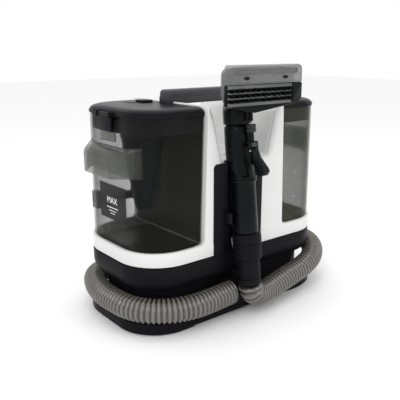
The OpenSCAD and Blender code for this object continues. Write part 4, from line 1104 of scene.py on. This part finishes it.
# ---- Bristles ----
# Rows of black nylon tufts between the grey bars: each tuft is sixteen tapered bristles that
# splay a little. Geometry Nodes set them out, every one slightly turned.
bristle_black = moulded("bristle_black_nylon", (0.006, 0.006, 0.006), 0.45, grain=0.1)
tree, given, out = node_tree("brush_tufts", {
    "Tufts": 12, "Rows": 3, "Bristles": 16, "Pitch": 0.0094, "Row Pitch": 0.0065, "Length": 0.0072,
    "Thick": 0.00036, "Spread": 0.0021, "Seed": 4})
nodes, links = tree.nodes, tree.links
grid = nodes.new("GeometryNodeMeshGrid")
span_x = wire(nodes, "ShaderNodeMath", operation="MULTIPLY")
span_y = wire(nodes, "ShaderNodeMath", operation="MULTIPLY")
less_x = wire(nodes, "ShaderNodeMath", operation="SUBTRACT")
less_y = wire(nodes, "ShaderNodeMath", operation="SUBTRACT")
less_x.inputs[1].default_value = less_y.inputs[1].default_value = 1
wire_up(links, (given, "Tufts", less_x, 0), (given, "Rows", less_y, 0), (less_x, 0, span_x, 0),
               (given, "Pitch", span_x, 1), (less_y, 0, span_y, 0), (given, "Row Pitch", span_y, 1),
               (span_x, 0, grid, "Size X"), (span_y, 0, grid, "Size Y"), (given, "Tufts", grid, "Vertices X"),
               (given, "Rows", grid, "Vertices Y"))
many = wire(nodes, "GeometryNodeDuplicateElements", domain="POINT")
points = nodes.new("GeometryNodeMeshToPoints")
scatter = wire(nodes, "FunctionNodeRandomValue", data_type="FLOAT_VECTOR")
low_corner = wire(nodes, "ShaderNodeMath", operation="MULTIPLY")
low_corner.inputs[1].default_value = -1
corner_low, corner_high = nodes.new("ShaderNodeCombineXYZ"), nodes.new("ShaderNodeCombineXYZ")
move = nodes.new("GeometryNodeSetPosition")
lean = wire(nodes, "FunctionNodeRandomValue", data_type="FLOAT_VECTOR")
lean.inputs[0].default_value, lean.inputs[1].default_value = (-0.16, -0.16, 0), (0.16, 0.16, 6.28)
hair = nodes.new("GeometryNodeMeshCone")
hair.inputs["Vertices"].default_value = 5
on_points = nodes.new("GeometryNodeInstanceOnPoints")
wire_up(links, (grid, "Mesh", points, "Mesh"), (points, 0, many, "Geometry"), (given, "Bristles", many, "Amount"),
               (given, "Spread", low_corner, 0))
for axis in ("X", "Y"):
    wire_up(links, (low_corner, 0, corner_low, axis), (given, "Spread", corner_high, axis))
wire_up(links, (corner_low, 0, scatter, 0), (corner_high, 0, scatter, 1), (given, "Seed", scatter, "Seed"),
               (given, "Seed", lean, "Seed"), (many, "Geometry", move, "Geometry"), (scatter, 0, move, "Offset"),
               (given, "Thick", hair, "Radius Bottom"))
thin = wire(nodes, "ShaderNodeMath", operation="MULTIPLY")
thin.inputs[1].default_value = 0.5
wire_up(links, (given, "Thick", thin, 0), (thin, 0, hair, "Radius Top"), (given, "Length", hair, "Depth"),
               (move, 0, on_points, "Points"), (hair, "Mesh", on_points, "Instance"),
               (lean, 0, on_points, "Rotation"))
finish_tree(tree, on_points.outputs[0], bristle_black, out)
bristles = grow(link("brush_bristles", bpy.data.meshes.new("brush_bristles")), tree, {})
tuft_low, tuft_high = mm_box("bristles")
tuft_middle = Vector(((tuft_low.x + tuft_high.x) / 2, mouth_y + 3.9, (tuft_low.z + tuft_high.z) / 2)) * MM
bristles.data.transform(Matrix.Translation(tuft_middle) @ Matrix.Rotation(math.radians(90), 4, "X"))
bristles.data.shade_smooth()
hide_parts("bristles")
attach(bristles, "nozzle")

# ---- Valley cover and power button ----
# A gloss white plate between the towers, with a round black push switch in a black ring. The
# power sign is printed in white.
saddle_low, saddle_high = mm_box("saddle_cover")
button_low, button_high = mm_box("power_button")
saddle = block("valley_cover", saddle_low, saddle_high, 1.2, white_gloss,
               lambda a, b: max(a.z, b.z) > saddle_low.z + 1)
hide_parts("saddle_cover")
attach(saddle, "machine")
button_y = (button_low.y + button_high.y) / 2
button_r = (button_high.x - button_low.x) / 2


def in_button(x, y, z):
    return Vector((x, button_y + y, z))


bezel = lathe("button_bezel", [(saddle_high.z - 0.5, 15), (saddle_high.z + 0.6, 15), (saddle_high.z + 1, 14.4),
                               (saddle_high.z + 1, button_r + 0.6), (saddle_high.z - 0.5, button_r + 0.5),
                               (saddle_high.z - 0.5, 15)], in_button, black_satin,
              caps=(False, False))
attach(bezel, "machine")
button_top = button_high.z
push = lathe("power_button_cap", [
    (saddle_high.z - 4, button_r - 0.2), (button_top - 1.2, button_r - 0.2), (button_top - 0.3, button_r - 0.9),
    (button_top, button_r - 2.4), (button_top - 0.9, button_r - 6)], in_button, lid_black)
symbol = []
for k in range(25):
    turn = math.radians(30 + 300 * k / 24)
    centre = Vector((3 * math.sin(turn), 3 * math.cos(turn)))
    inner, far_out = centre * 0.86, centre * 1.14
    symbol.append([in_button(q.x, q.y, button_top - down) for q, down in (
        (inner, 0.9), (far_out, 0.9), (far_out, 0.5), (inner, 0.5))])
mark = skin("power_mark", symbol, white_ink)
tick = block("power_tick", (-0.4, button_y + 1.2, button_top - 0.9), (0.4, button_y + 4, button_top - 0.5), 0.1,
             white_ink)
push = join("power_button_cap", [push, mark, tick])
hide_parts("power_button")
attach(push, "power_button")

# ---- Pieces that keep their plain shape ----
# Screws, pins, seals, ducts and the parts inside: true to shape already, so they get a small
# broken edge and the finish of what each is made of.
steel = moulded("steel", (0.55, 0.55, 0.56), 0.3, grain=0.05)
steel.node_tree.nodes["Principled BSDF"].inputs["Metallic"].default_value = 1
rubber = moulded("pad_rubber", (0.012, 0.012, 0.013), 0.8, grain=0.5)
board_green = moulded("board_green", (0.02, 0.14, 0.06), 0.4, grain=0.3, mottle=0.3)
inner_grey = moulded("inner_grey_plastic", (0.12, 0.12, 0.125), 0.45, grain=0.3)
float_orange = moulded("float_orange_plastic", (0.6, 0.16, 0.03), 0.35, grain=0.1)
kept = {
    black_satin: ("hose_port", "rear_panel", "cord_gland", "cord_hook_left", "cord_hook_right", "clean_valve_body",
                  "nozzle_pipe", "valve_seat"),
    rubber: ("foot_pads", "dirty_lid_seal", "clean_lid_seal"),
    steel: ("foot_screws", "rear_screws", "handle_screws", "gun_screws", "trigger_pin", "dirty_latch_pin",
            "clean_latch_pin", "motor_shaft", "motor"),
    inner_grey: ("motor_housing", "water_pump", "suction_duct", "fan", "valve_plunger"),
    board_green: ("circuit_board",),
    float_orange: ("float_ball",),
}
for material, names in kept.items():
    for name in names:
        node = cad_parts[name]
        for place in node.material_slots:
            place.material = material
        weld = node.modifiers.new("weld", "WELD")
        weld.merge_threshold = 0.00001
        edge = node.modifiers.new("broken_edge", "BEVEL")
        edge.width, edge.segments, edge.angle_limit = 0.0005, 2, math.radians(40)
